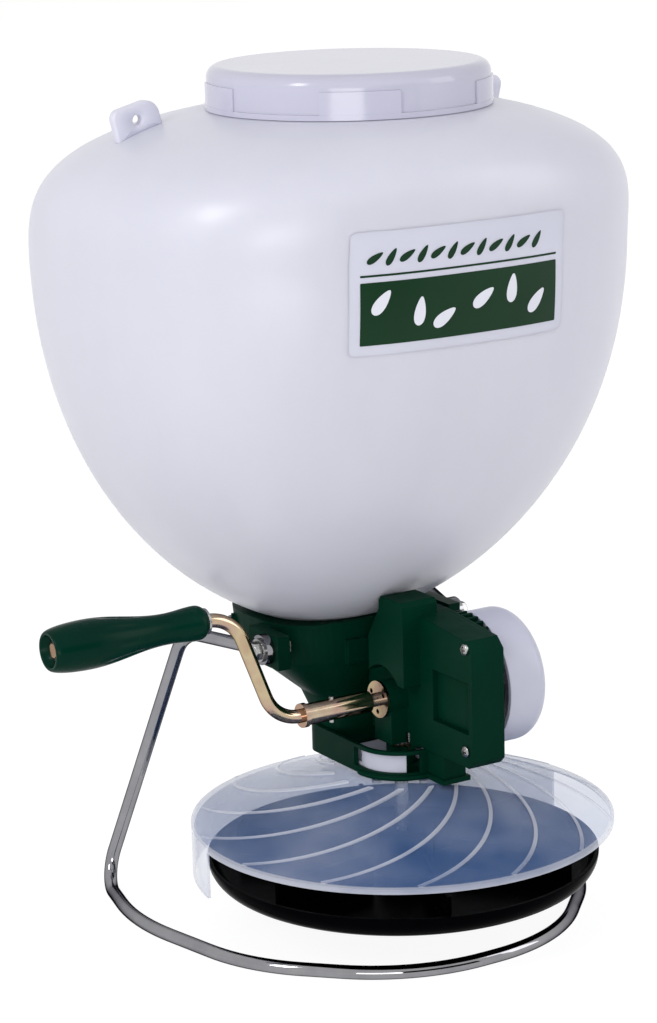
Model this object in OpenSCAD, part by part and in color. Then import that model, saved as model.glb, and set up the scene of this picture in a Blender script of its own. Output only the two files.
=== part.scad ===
// Chest-carried seed spreader: hopper, geared crank, metering gate and spinning disc.
// Millimetres. The spreader axis is the Z axis, the floor is z = 0, the throw goes to -Y.
// The crank is on the -X side, the metering knob on the +X side.

/* [Hopper] */
// Width of the hopper, side to side
hopper_w = 340; // [334:1:346]
// Depth of the hopper, front to back
hopper_d = 300; // [294:1:304]
// Height of the widest level above the floor
widest_z = 399; // [397:1:400]
// Rise of the shoulder's curve above the widest level
shoulder_h = 88; // [86:1:89]
// Squareness of the shoulder's curve, 2 for an ellipse
shoulder_power = 3.36; // [3.2:0.02:3.5]
// Depth of the belly's curve below the widest level
belly_drop = 231; // [229:1:234]
// Squareness of the belly's curve, 2 for an ellipse
belly_curve = 2.2; // [2.1:0.05:2.3]
// Fullness of the belly, 0.5 for an ellipse
belly_power = 0.56; // [0.54:0.01:0.58]
// Squareness of the hopper's plan, 2 for an ellipse
plan_power = 2.5; // [2.2:0.1:3]
// Centre of the hopper at its widest level, behind the spreader axis
hopper_y = 66; // [62:1:70]
// Centre of the filling neck, behind the spreader axis
neck_y = 40; // [36:1:44]
// Thickness of the moulded hopper wall
hopper_wall = 2.6; // [2.2:0.1:3.4]
// Outer radius of the filling neck
neck_r = 78; // [76:0.5:79]
// Height of the filling neck above the shoulder
neck_h = 19.5; // [18:0.5:21]
// Height of the hopper's flat bottom above the floor
hopper_bottom_z = 178; // [177:0.5:179]
// Outer radius of the outlet spout
spout_r = 40; // [38:0.5:41]
// Length of the outlet spout below the hopper's bottom
spout_l = 18; // [14:0.5:20]

/* [Strap eyes] */
// Distance of each strap eye from the middle plane
eye_x = 117; // [112:1:120]
// Place of the strap eyes behind the spreader axis
eye_y = 80; // [76:1:84]
// Height of the eye's hole above the floor
eye_z = 478; // [476:0.5:480]
// Radius of the eye's hole
eye_hole_r = 3; // [2.5:0.25:3.5]
// Thickness of the eye's plate
eye_t = 6; // [5:0.5:8]

/* [Lid] */
// Clearance between the lid and the neck, radial
lid_gap = 0.7; // [0.5:0.1:1]
// Gap between the lid's lower edge and the hopper's shoulder
lid_foot_gap = 0.6; // [0.4:0.1:3]
// Thickness of the lid's wall and top
lid_wall = 2.4; // [2:0.1:2.6]
// Radius of the lid's rounded top edge
lid_round = 7; // [4:0.5:7]
// Thickness of the seal under the lid
seal_t = 3; // [2.5:0.1:3.2]

/* [Drive] */
// Height of the crank axis above the floor
crank_z = 138.5; // [138:0.5:139]
// Throw of the crank, axis to grip
crank_throw = 67; // [60:1:67]
// Radius of the crank's rod and shaft
rod_r = 4; // [3.5:0.1:4.2]
// Bend radius of the crank's rod
crank_bend = 24; // [18:1:24]
// Lean of the crank's arm, outward over its throw
arm_lean = 26; // [24:1:30]
// Teeth on the pinion
pinion_teeth = 8; // [8:1:8]
// Turns of the disc for one turn of the crank
drive_ratio = 4; // [4:1:4]
// Module of the crown gear and pinion
drive_module = 1.625; // [1.6:0.005:1.65]
// Radius of the disc's shaft
shaft_r = 4; // [3.6:0.1:4.2]
// Radius of the shaft's neck in the pinion
shaft_neck_r = 3; // [2.8:0.1:3.1]

/* [Grip] */
// Length of the turning grip
grip_l = 97; // [92:1:102]
// Radius at the grip's belly
grip_belly_r = 14; // [13:0.25:15]
// Radius at the grip's waist
grip_waist_r = 8.8; // [8.5:0.1:9.5]

/* [Metering] */
// Travel of the gate from open to shut
gate_travel = 20; // [19:0.5:20]
// Place of the knob's axis, negative is to the front of the spreader axis
knob_y = -28; // [-30:0.5:-27]
// Height of the knob's axis above the floor
knob_z = 149; // [146.5:0.5:149]
// Module of the knob's gear and the rack
rack_module = 1.5; // [1.4:0.1:1.5]
// Outer radius of the metering knob
knob_r = 39.5; // [36:0.5:40.5]
// Length of the metering knob's drum
knob_l = 28; // [24:0.5:30]

/* [Disc and guard] */
// Radius of the spinning disc
disc_r = 116; // [112:1:118]
// Height of the disc's underside above the floor
disc_z = 29.5; // [28:0.5:31]
// Number of vanes on the disc
vane_count = 6; // [4:1:8]
// Height of the vanes above the disc's floor
vane_h = 18; // [12:1:20]
// Radius of the guard's rim
guard_r = 125; // [123:1:128]
// Height of the guard's rim above the floor
guard_rim_z = 65; // [63:0.5:65.5]
// Thickness of the guard
guard_t = 2; // [1.6:0.1:2.6]
// Drop of the skirt below the guard's rim
skirt_h = 31; // [26:1:36]
// Angle that the skirt covers round the back
skirt_angle = 164; // [150:1:170]
// Number of swirl ribs on the guard
rib_count = 14; // [10:1:16]
// Radius of each swirl rib's arc
rib_arc_r = 82; // [80:1:84]
// Distance of each rib's arc centre from the spreader axis
rib_arc_off = 60; // [58:1:62]

/* [Stand] */
// Radius of the stand's rod
stand_r = 4; // [3.5:0.1:4.2]
// Bend radius of the stand's corners
stand_bend = 18; // [14:1:20]
// Radius of the floor loop's front
loop_r = 120; // [116:1:121]
// Place of the loop's front above the spreader axis, negative is to the front
loop_front_y = -90; // [-94:1:-88]
// Distance of each foot corner from the middle plane
foot_x = 122; // [118:1:126]
// Place of the foot corners behind the spreader axis
foot_y = 150; // [146:1:154]

/* [Hidden] */

$fn = 96;
// Running clearance of shafts in bushes, radial
run_fit = 0.05;
// Seating clearance of pieces that are pushed together, radial
seat_fit = 0.05;
// Gap between pieces that move past each other
move_gap = 0.3;
// Swell of a rod at its bends, and how far the straight lengths run into them
bend_swell = 0.02;
bend_lap = 0.4;

// Hopper: derived sizes
half_w = hopper_w / 2;
plan_ratio = hopper_d / hopper_w;
ring_steps = 64;
upper_steps = 10;
lower_steps = 12;
outlet_y = hopper_y + 13;
neck_base_r = neck_r + 6;
neck_wall = 2.6;
// Height of the shoulder's top ring, where the neck stands, and of the neck's rim
neck_base_z = widest_z + shoulder_h * pow(sin(acos(neck_base_r / half_w)), 2 / shoulder_power);
neck_top_z = neck_base_z + neck_h;

// Lid: derived sizes
lid_bead = 1.2;
lid_r = neck_r + lid_gap + lid_wall + lid_bead;
lid_top_z = neck_top_z + seal_t + lid_wall + 0.2;
lid_bottom_z = neck_base_z + lid_foot_gap;

// Outlet casing and gate: levels
casing_bottom_z = 95;
casing_floor_t = 2.5;
casing_top_z = 112;
casing_wall = 2.5;
gate_z = casing_bottom_z + casing_floor_t + move_gap;
gate_t = 2.5;
gate_plate_y = 12;
gate_back_y = 38.3;
gate_slot_x = 10.5;
gate_lip_r = 24.4;
gate_half_w = 24;
port_y = gate_back_y + 0.7;
port_l = 18;
port_left_x = -14;
port_right_x = 20;
casing_r = 27.5;
casing_foot_r = 30.5;
casing_back_y = 63.5;
casing_corner_r = 12;
gate_corner_r = 8;
chute_half_w = 24.5;
boss_r = 8.5;

// Gear train: derived sizes
pinion_r = drive_module * pinion_teeth / 2;
crown_r = pinion_r * drive_ratio;
crown_teeth = pinion_teeth * drive_ratio;
mesh_z = crank_z - crown_r;
pinion_half_l = 3;
neck_bush_r = shaft_neck_r + 1.6;
neck_bush_z = mesh_z + pinion_half_l + 2.5;
neck_bush_l = 9;
tooth_add = 0.7 * drive_module;
tooth_ded = 1.17 * drive_module;
crown_face_x = pinion_r + tooth_ded;
crown_disc_t = 3.6;
crown_rim_r = crown_r + 3.5;

// Gearbox: derived sizes
box_l = 19;
box_wall = 3;
box_front_y = -75;
box_back_y = 30;
box_top_z = 192;
// Corners of the case's side view: cut-off front corners, slope of the top and of the back
box_corner = 4;
box_nose_h = 11;
box_nose_l = 6;
box_ridge_y = -20;
box_slope_y = 3;
box_slope_h = 23;
gear_cavity_r = crown_rim_r + 1.5;
gear_bulge_r = gear_cavity_r + 2;
bush_r = 6.5;
bush_wall_r = 10;
crank_boss_r = 10.5;
crank_boss_x = -13.7;
cover_plate_t = 3;
cover_drum_l = 9;
cover_drum_r = 35;
cover_end_x = box_l + cover_plate_t + cover_drum_l;
screw_places = [[-69, 182.5], [-69, 122], [25.5, 166]];
screw_r = 2;
screw_head_r = 3.3;
screw_head_t = 2.4;

// Metering knob: derived sizes
knob_x = cover_end_x + 1.2;
axle_r = 5;
axle_bearing_r = 10;
knob_screw_r = 1.95;
rack_x = crown_face_x + crown_disc_t + 1;
rack_t = 5;
rack_floor_z = casing_top_z + box_wall + move_gap;
rack_bar_t = 2.6;
rack_line_z = rack_floor_z + rack_bar_t + 1.2 * rack_module;
knob_gear_r = knob_z - rack_line_z;
rack_pitch = PI * rack_module;
axle_end_x = knob_x + knob_l - 8;
// Half widths of a rack or knob tooth at its root and tip
tooth_base = 0.86 * rack_module;
tooth_tip = 0.36 * rack_module;
// Upright of the gate under the rack, at its open place
upright_l = 14;
upright_y = -sqrt(gate_lip_r * gate_lip_r - pow(rack_x + rack_t, 2));

// Crank: derived sizes
sleeve_r = 6.25;
sleeve_in_x = -22;
sleeve_out_x = -68;
shaft_in_x = cover_end_x - 2.5;
shaft_out_x = -54;
sleeve_pin_x = -47;
sleeve_pin_r = 1.5;
washer_r = 11;
washer_t = 1.6;
arm_x = -85;
grip_z = crank_z + crank_throw;
grip_in_x = -130;
grip_out_x = grip_in_x - grip_l;
grip_recess = 6.5;
grip_washer_t = 1.4;
grip_washer_r = rod_r + 3.5;

// Funnel: derived sizes
collar_half_w = 54;
collar_half_d = 46;
collar_bottom_z = 154;
collar_taper = 2;
throat_z = 130;
throat_y = 58;
throat_half_w = 27;
throat_half_d = 22;
chute_y = 48;
chute_half_d = 13.5;
funnel_wall = 2.5;
funnel_power = 3;
pad_front_x = 64;
pad_t = 8;
bolt_y = 42;
bolt_z = 168;
bolt_r = 3;

// Guard: derived sizes
hub_r = 34;
hub_z = casing_bottom_z;

// Stand: derived sizes
rod_z = stand_r;
stand_eye_t = 5;
stand_eye_r = 9;
stand_washer_t = 1.6;
arm_end = [-86, 103, bolt_z];
// The loop's sides swing out from the feet, then run round the front
side_out = 18;
side_run = 72;
side_bend = 140;
front_bend = loop_r - 12;
// Bolts, nuts and washers of the stand: radius over the hexagon's corners, washer, bolt past the nut
hex_r = 5.77;
hex_head_t = 4;
nut_t = 5;
stand_washer_r = 7;
bolt_past = 1.5;
eye_pos = [-pad_front_x - stand_eye_t / 2 - 0.2, bolt_y, bolt_z];

// Points of a rounded rectangle of half sizes a and b at height z, centred at y
function ring(a, b, power, y, z) = [
    for (i = [0:ring_steps - 1])
        let (t = 360 * i / ring_steps, c = cos(t), s = sin(t))
        [a * sign(c) * pow(abs(c), 2 / power), y + b * sign(s) * pow(abs(s), 2 / power), z]
];

// Closed solid through a stack of rings, lowest first
module loft(rings) {
    n = ring_steps;
    last = len(rings) - 1;
    sides = [
        for (j = [0:last - 1], i = [0:n - 1])
            let (k = (i + 1) % n)
            each [
                [j * n + i, (j + 1) * n + i, (j + 1) * n + k],
                [j * n + i, (j + 1) * n + k, j * n + k]
            ]
    ];
    floor_cap = [for (i = [0:n - 1]) i];
    top_cap = [for (i = [n - 1:-1:0]) last * n + i];
    polyhedron([for (r = rings) each r], concat([floor_cap], sides, [top_cap]));
}

// One ring of the hopper below its widest level, at the profile angle phi
function belly_ring(phi, inset) =
    let (drop = pow(sin(phi), 2 / belly_curve), share = pow(cos(phi), 2 * belly_power))
    ring(half_w * share - inset, half_w * plan_ratio * share - inset,
         plan_power - 0.3 * drop, hopper_y + (outlet_y - hopper_y) * drop * drop,
         widest_z - belly_drop * drop);

// One ring of the hopper's shoulder, where the share of full width is cos(phi)
function shoulder_ring(phi, inset) =
    let (
        share = cos(phi),
        rise = pow(sin(phi), 2 / shoulder_power),
        blend = (1 - share) / (1 - neck_base_r / half_w),
        ratio = plan_ratio + (1 - plan_ratio) * blend
    )
    ring(half_w * share - inset, half_w * share * ratio - inset,
         plan_power - (plan_power - 2) * blend, hopper_y + (neck_y - hopper_y) * sqrt(blend),
         widest_z + (shoulder_h - inset) * rise);

// The hopper's skin, drawn in from the outside by inset
module hopper_skin(inset) {
    low = asin(pow((widest_z - hopper_bottom_z - inset) / belly_drop, belly_curve / 2));
    high = acos(neck_base_r / half_w);
    loft(concat(
        [for (i = [lower_steps:-1:1]) belly_ring(low * i / lower_steps, inset)],
        [for (i = [0:upper_steps]) shoulder_ring(high * i / upper_steps, inset)]
    ));
}

// Tab with a hole, its top edge leaning with the shoulder, high end towards +X
module strap_eye() {
    tab_half_w = 14.8;
    tab_top = 9;
    plate_drop = 22;
    low_corner_r = 5.5;
    high_corner_r = 9;
    tab_lean = 14;
    translate([0, eye_t / 2, 0])
        rotate([90, 0, 0])
            linear_extrude(eye_t)
                difference() {
                    rotate([0, 0, tab_lean]) {
                        translate([-tab_half_w, -plate_drop])
                            square([2 * tab_half_w, plate_drop + tab_top - high_corner_r]);
                        translate([low_corner_r - tab_half_w, 0])
                            square([2 * tab_half_w - low_corner_r - high_corner_r, tab_top]);
                        translate([low_corner_r - tab_half_w, tab_top - low_corner_r]) circle(low_corner_r);
                        translate([-tab_half_w, -1])
                            square([low_corner_r, tab_top - low_corner_r + 1]);
                        translate([tab_half_w - high_corner_r, tab_top - high_corner_r])
                            circle(high_corner_r);
                    }
                    circle(eye_hole_r);
                }
}

module hopper() {
    neck_root = 6;
    color("#d5d6e6")
    difference() {
        union() {
            hopper_skin(0);
            translate([0, neck_y, neck_base_z - neck_root]) cylinder(r = neck_r, h = neck_h + neck_root);
            translate([0, neck_y, neck_base_z - neck_root]) cylinder(r = neck_base_r - 1, h = neck_root);
            translate([0, outlet_y, hopper_bottom_z - spout_l]) cylinder(r = spout_r, h = spout_l + 4);
            difference() {
                for (side = [0, 1]) mirror([side, 0, 0]) translate([-eye_x, eye_y, eye_z]) strap_eye();
                hopper_skin(hopper_wall / 2);
            }
        }
        hopper_skin(hopper_wall);
        translate([0, neck_y, widest_z]) cylinder(r = neck_r - neck_wall, h = neck_top_z);
        translate([0, outlet_y, hopper_bottom_z - spout_l - 1])
            cylinder(r = spout_r - hopper_wall, h = spout_l + 12);
        hopper_screw_holes(screw_r - 0.3);
    }
}

module lid() {
    top = lid_top_z - lid_bottom_z;
    side_r = lid_r - lid_bead;
    foot_h = 3;
    pad_count = 5;
    pad_angle = 32;
    pad_start = 10;
    color("#d2d4e4")
    translate([0, neck_y, lid_bottom_z]) {
        rotate_extrude()
            difference() {
                union() {
                    square([side_r, top - lid_round]);
                    square([side_r - lid_round, top]);
                    translate([side_r - lid_round, top - lid_round]) circle(lid_round);
                    square([lid_r, foot_h]);
                }
                translate([-1, -1]) square([side_r - lid_wall + 1, top - lid_wall + 1]);
                translate([-lid_r, -1]) square([lid_r, top + 2]);
            }
        // grip pads round the side
        for (i = [0:pad_count - 1])
            rotate([0, 0, 360 * i / pad_count + pad_start])
                rotate_extrude(angle = pad_angle)
                    translate([side_r - 0.4, foot_h - 1])
                        square([lid_bead + 0.2, top - lid_round - foot_h - 1]);
    }
}

module lid_seal() {
    color("#3a3d40")
    translate([0, neck_y, neck_top_z + 0.1])
        difference() {
            cylinder(r = neck_r - 0.4, h = seal_t);
            translate([0, 0, -1]) cylinder(r = neck_r - 6, h = seal_t + 2);
        }
}

// Rings of the funnel, outer when inset is 0
function funnel_rings(inset) = [
    ring(chute_half_w - inset, chute_half_d - inset, funnel_power, chute_y, gate_z + gate_t + 0.5 - inset),
    ring(chute_half_w - inset, chute_half_d - inset, funnel_power, chute_y, casing_top_z),
    ring(throat_half_w - inset, throat_half_d - inset, funnel_power, throat_y, throat_z),
    ring(collar_half_w - collar_taper - inset, collar_half_d - collar_taper / 2 - inset, funnel_power,
         outlet_y - collar_taper / 2, collar_bottom_z),
    ring(collar_half_w - inset, collar_half_d - inset, funnel_power, outlet_y, hopper_bottom_z)
];

// The space inside the funnel, from the spout's end down to the gate
function funnel_bore_rings() = [
    ring(chute_half_w - funnel_wall, chute_half_d - funnel_wall, funnel_power, chute_y, gate_z),
    ring(chute_half_w - funnel_wall, chute_half_d - funnel_wall, funnel_power, chute_y, casing_top_z),
    ring(throat_half_w - funnel_wall, throat_half_d - funnel_wall, funnel_power, throat_y, throat_z),
    ring(spout_r - 2, spout_r - 2, 2, outlet_y, collar_bottom_z + 1),
    ring(spout_r - 2, spout_r - 2, 2, outlet_y, hopper_bottom_z)
];

// Screws through the collar into the spout, from the sides and the back, as angles about the outlet
hopper_screw_angles = [25, 90, 155];

// Distance of a hopper screw's seat from the outlet's axis: just past the collar at that angle
function screw_seat(a) =
    1.2 + 1 / pow(pow(abs(cos(a)) / collar_half_w, funnel_power)
                  + pow(abs(sin(a)) / collar_half_d, funnel_power), 1 / funnel_power);

// Children drawn along +Z from the outlet's axis outwards, at one hopper screw
module hopper_screw_place(a) {
    translate([0, outlet_y, hopper_bottom_z - 9]) rotate([0, 0, a]) rotate([0, 90, 0]) children();
}

module hopper_screw_holes(r) {
    for (a = hopper_screw_angles) hopper_screw_place(a) cylinder(r = r, h = collar_half_w + 10);
}

module funnel_housing() {
    // ears for the stand's bolts, each on a web, and the pad against the gearbox
    ear_l = 34;
    ear_h = 20;
    ear_low_z = bolt_z - 11;
    ear_y = bolt_y - 12;
    web_l = 12;
    web_w = 16;
    web_x = collar_half_w - 2;
    box_pad_w = 32;
    box_pad_l = 8;
    box_pad_z = 152;
    box_pad_h = 15;
    color("#0b3a2a")
    difference() {
        union() {
            loft(funnel_rings(0));
            for (side = [-1, 1]) {
                translate([side * (pad_front_x - pad_t / 2) - pad_t / 2, ear_y, ear_low_z])
                    cube([pad_t, ear_l, ear_h]);
                translate([side * web_x - web_w / 2, ear_y + ear_l - web_l, ear_low_z])
                    cube([web_w, web_l, ear_h]);
            }
            translate([-box_pad_w / 2, box_back_y, box_pad_z]) cube([box_pad_w, box_pad_l, box_pad_h]);
            for (a = hopper_screw_angles)
                hopper_screw_place(a) cylinder(r = screw_head_r + 1.2, h = screw_seat(a));
        }
        loft(funnel_bore_rings());
        translate([0, outlet_y, hopper_bottom_z - spout_l - 0.5])
            cylinder(r = spout_r + seat_fit, h = spout_l + 1);
        for (side = [-1, 1])
            translate([side * pad_front_x, bolt_y, bolt_z])
                rotate([0, 90, 0]) cylinder(r = bolt_r + 0.3, h = 4 * pad_t, center = true);
        hopper_screw_holes(screw_r + 0.1);
        // clear the crown gear's round housing
        x_rod(-30, 60, gear_bulge_r + 0.5);
    }
}

module screw(head_r, head_t, r, l) {
    cylinder(r = r, h = l);
    translate([0, 0, -head_t]) cylinder(r = head_r, h = head_t);
}

module hopper_screws() {
    color("silver")
    for (a = hopper_screw_angles)
        hopper_screw_place(a)
            translate([0, 0, screw_seat(a)])
                rotate([180, 0, 0])
                    screw(screw_head_r, screw_head_t, screw_r - 0.35, screw_seat(a) - spout_r + 2);
}

// Plan of the outlet casing, drawn in by inset: round in front, straight behind
module casing_plan(inset) {
    corner_x = casing_r - casing_corner_r;
    corner_y = casing_back_y - casing_corner_r;
    circle(casing_r - inset);
    translate([-casing_r + inset, 0]) square([2 * (casing_r - inset), corner_y]);
    translate([-corner_x, 0]) square([2 * corner_x, casing_back_y - inset]);
    for (side = [-1, 1])
        translate([side * corner_x, corner_y]) circle(casing_corner_r - inset);
}

module outlet_casing() {
    window_start = 164;
    window_angle = 98;
    window_low = 1;
    window_high = 2.2;
    pillar_x = 1;
    pillar_w = 15;
    pillar_d = 24;
    pillar_y = -44;
    foot_t = 3;
    foot_over = 2;
    boss_top_z = mesh_z - pinion_half_l - 0.5;
    color("#0a3526")
    difference() {
        union() {
            difference() {
                translate([0, 0, casing_bottom_z])
                    linear_extrude(casing_top_z - casing_bottom_z) casing_plan(0);
                translate([0, 0, casing_bottom_z + casing_floor_t])
                    linear_extrude(casing_top_z) casing_plan(casing_wall);
                // window that shows the gate
                translate([0, 0, gate_z + window_low])
                    rotate([0, 0, window_start])
                        rotate_extrude(angle = window_angle)
                            translate([casing_r - casing_wall - 1, 0])
                                square([casing_wall + 2, casing_top_z - window_high - gate_z - window_low]);
            }
            // rounded rim round the front of the floor
            translate([0, 0, casing_bottom_z + foot_t / 2])
                rotate([0, 0, 180])
                    rotate_extrude(angle = 180) {
                        translate([casing_foot_r - foot_t / 2, 0]) circle(foot_t / 2, $fn = 32);
                        translate([casing_r - casing_wall / 2, -foot_t / 2])
                            square([casing_foot_r - foot_t / 2 - casing_r + casing_wall / 2, foot_t]);
                    }
            translate([0, 0, casing_bottom_z]) cylinder(r = boss_r, h = boss_top_z - casing_bottom_z);
            difference() {
                union() {
                    translate([pillar_x, pillar_y, casing_bottom_z])
                        cube([pillar_w, pillar_d, casing_top_z - casing_bottom_z]);
                    translate([pillar_x - foot_over, pillar_y - foot_over, casing_bottom_z])
                        cube([pillar_w + 2 * foot_over, pillar_d, foot_t]);
                }
                translate([0, 0, casing_bottom_z - 1]) cylinder(r = casing_r - casing_wall, h = 30);
            }
        }
        translate([0, 0, casing_bottom_z - 1]) cylinder(r = bush_r + seat_fit, h = 30);
        // seed port in the floor
        translate([port_left_x, port_y, casing_bottom_z - 1])
            cube([port_right_x - port_left_x, port_l, 10]);
        // clear the gear case's round bottom
        x_rod(-0.5, box_l + cover_plate_t + 1, gear_bulge_r + move_gap);
        // seat for the funnel's chute
        translate([0, 0, gate_z + gate_t + 0.3]) loft([
            for (z = [0, 30]) ring(chute_half_w + 0.2, chute_half_d + 0.2, funnel_power, chute_y, z)
        ]);
        guard_screw_places() translate([0, 0, -1]) cylinder(r = 1.3, h = 4);
    }
}

// Side view of the gearbox, drawn in by inset: y to the right, z up
module box_side(inset) {
    polygon([
        [box_front_y + box_corner + inset, casing_top_z + inset],
        [box_front_y + inset, casing_top_z + box_corner + inset],
        [box_front_y + inset, box_top_z - box_nose_h - inset],
        [box_front_y + box_nose_l + inset, box_top_z - box_nose_h + box_nose_l - inset],
        [box_ridge_y, box_top_z - inset],
        [box_slope_y - inset / 2, box_top_z - inset],
        [box_back_y - inset, box_top_z - box_slope_h - inset / 2],
        [box_back_y - inset, casing_top_z + inset]
    ]);
}

// Lays a side view, drawn as y and z, along X from x = from over the length l
module along_x(from, l) {
    translate([from, 0, 0]) rotate([90, 0, 90]) linear_extrude(l) children();
}

// Cylinder along X on the crank's axis, and one on the knob's axis
module x_rod(from, l, r) {
    translate([from, 0, crank_z]) rotate([0, 90, 0]) cylinder(r = r, h = l);
}

module knob_rod(from, l, r) {
    translate([from, knob_y, knob_z]) rotate([0, 90, 0]) cylinder(r = r, h = l);
}

// Hollow of the gear case, round its screw bosses and behind the recess of its face
module gear_hollow() {
    boss_r = 4.6;
    difference() {
        union() {
            along_x(box_wall, box_l) box_side(box_wall);
            x_rod(box_wall, box_l, gear_cavity_r);
        }
        for (p = screw_places)
            translate([0, p[0], p[1]]) rotate([0, 90, 0]) cylinder(r = boss_r, h = box_l);
        face_recess(box_wall);
    }
}

// Recess in the front half of the case's face, grown by wall for the wall behind it
module face_recess(wall) {
    depth = 4;
    front = box_front_y + 4;
    back = -gear_bulge_r - 2;
    low = casing_top_z + 20;
    high = crank_z + 24;
    translate([-1, front - wall, low - wall])
        cube([depth + 1 + wall, back - front + 2 * wall, high - low + 2 * wall]);
}

module gearbox_housing() {
    tower_top = 200.5;
    tower_x = -12;
    tower_front = -23;
    tower_back = 2;
    tower_low = 150;
    tower_wall = 3;
    tower_edge = 2.5;
    tower_step = 8;
    tower_back_l = 12;
    tower_back_h = 27;
    hood_r = 20;
    post_top = neck_bush_z + neck_bush_l + 1;
    post_half_w = 9;
    pinion_room = pinion_half_l + 2.2;
    slot_gap = 0.5;
    color("#0d4230")
    difference() {
        union() {
            difference() {
                union() {
                    along_x(0, box_l) box_side(0);
                    x_rod(0, box_l, gear_bulge_r);
                    // tower above the crank, hollowed to a hood round the crank's boss
                    difference() {
                        along_x(tower_x, 2 * -tower_x) polygon([
                            [tower_front, tower_low], [tower_front, tower_top - tower_edge],
                            [tower_front + tower_edge, tower_top], [tower_back - tower_edge, tower_top],
                            [tower_back, tower_top - tower_edge], [tower_back, tower_top - tower_step],
                            [tower_back + tower_back_l, tower_top - tower_back_h],
                            [tower_back + tower_back_l, tower_low]
                        ]);
                        x_rod(tower_x - 1, 1 - tower_x, hood_r);
                    }
                    x_rod(crank_boss_x, 1 - crank_boss_x, crank_boss_r);
                }
                gear_hollow();
                face_recess(0);
            }
            // post under the crank, with the top bearing of the disc's shaft
            translate([tower_x, -post_half_w, mesh_z + pinion_room])
                cube([crown_face_x - 0.6 - tower_x, 2 * post_half_w, post_top - mesh_z - pinion_room]);
            translate([tower_x, -post_half_w, casing_top_z])
                cube([1 - tower_x, 2 * post_half_w, crank_z - casing_top_z]);
        }
        // bore for the crank's bush, and room for the pinion
        x_rod(crank_boss_x - 1, 1 + box_wall - crank_boss_x + 6, bush_r + seat_fit);
        translate([0, 0, mesh_z - 12]) cylinder(r = 9, h = 12 + pinion_room);
        translate([-1, -post_half_w - 1, mesh_z - 8]) cube([4.5, 2 * post_half_w + 2, 8 + pinion_room]);
        translate([0, 0, casing_top_z])
            cylinder(r = neck_bush_r + seat_fit, h = post_top - casing_top_z - 0.5);
        // hollow of the tower
        translate([tower_x + tower_wall, tower_front + tower_wall, crank_z + hood_r + tower_wall])
            cube([box_wall + 0.5 - tower_x - tower_wall, tower_back - tower_front - 2 * tower_wall, 32]);
        // slot in the bottom for the gate's upright
        translate([rack_x - slot_gap, upright_y - slot_gap, casing_top_z - 15])
            cube([rack_t + 2 * slot_gap, upright_l + gate_travel + 2 * slot_gap, 15 + box_wall + 1]);
        for (p = screw_places)
            translate([-3, p[0], p[1]]) rotate([0, 90, 0]) cylinder(r = screw_r + 0.1, h = box_l + 4);
    }
}

module gearbox_cover() {
    rib_count = 6;
    rib_first = -12;
    rib_step = 8;
    rib_h = 6;
    rib_t = 1.8;
    drum_l = cover_plate_t + cover_drum_l;
    drum_wall = 3;
    color("#0c3d2c")
    difference() {
        union() {
            difference() {
                union() {
                    along_x(box_l, cover_plate_t) box_side(0);
                    x_rod(box_l, cover_plate_t, gear_bulge_r);
                    // round flange under the knob, with the index ribs of its scale
                    knob_rod(box_l, drum_l, cover_drum_r);
                    for (i = [0:rib_count - 1])
                        translate([box_l + cover_plate_t - 1, knob_y, knob_z])
                            rotate([rib_first + rib_step * i, 0, 0])
                                translate([0, -rib_t / 2, cover_drum_r - 1])
                                    cube([cover_drum_l + 1, rib_t, rib_h + 1]);
                }
                knob_rod(box_l - 1, drum_l - 1, cover_drum_r - drum_wall);
            }
            x_rod(box_l, drum_l, bush_wall_r);
            knob_rod(box_l, drum_l, axle_bearing_r);
        }
        // bore for the crank shaft's end bush, blind towards the knob
        x_rod(box_l - 1, drum_l - 1, bush_r + seat_fit);
        // bearing of the knob's axle
        knob_rod(box_l - 1, drum_l + 2, axle_r + run_fit);
        for (p = screw_places)
            translate([0, p[0], p[1]]) rotate([0, 90, 0])
                cylinder(r = screw_r + 0.1, h = box_l + cover_plate_t + 1);
    }
}

module gearbox_screws() {
    color("silver")
    for (p = screw_places)
        translate([0, p[0], p[1]]) rotate([0, 90, 0])
            screw(screw_head_r, screw_head_t, screw_r, box_l + cover_plate_t - 0.5);
}

module bush(r_in, r_out, l) {
    difference() {
        cylinder(r = r_out, h = l);
        translate([0, 0, -1]) cylinder(r = r_in, h = l + 2);
    }
}

module crank_bushes() {
    color("#b08d57")
    for (p = [[crank_boss_x, box_wall - crank_boss_x], [box_l + 0.4, cover_end_x - box_l - 2.6]])
        translate([p[0], 0, crank_z]) rotate([0, 90, 0]) bush(rod_r + run_fit, bush_r, p[1]);
}

module shaft_bushes() {
    low_l = mesh_z - pinion_half_l - casing_bottom_z - 0.5;
    color("#b08d57") {
        translate([0, 0, casing_bottom_z]) bush(shaft_r + run_fit, bush_r, low_l);
        translate([0, 0, neck_bush_z]) bush(shaft_neck_r + run_fit, neck_bush_r, neck_bush_l);
    }
}

// Height of the guard's top face at radius r
function guard_top(r) = guard_rim_z + (hub_z - guard_rim_z) * (guard_r - r) / (guard_r - hub_r);

module guard_screw_places() {
    for (a = [200, 270, 340])
        rotate([0, 0, a]) translate([24, 0, casing_bottom_z]) children();
}

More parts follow.
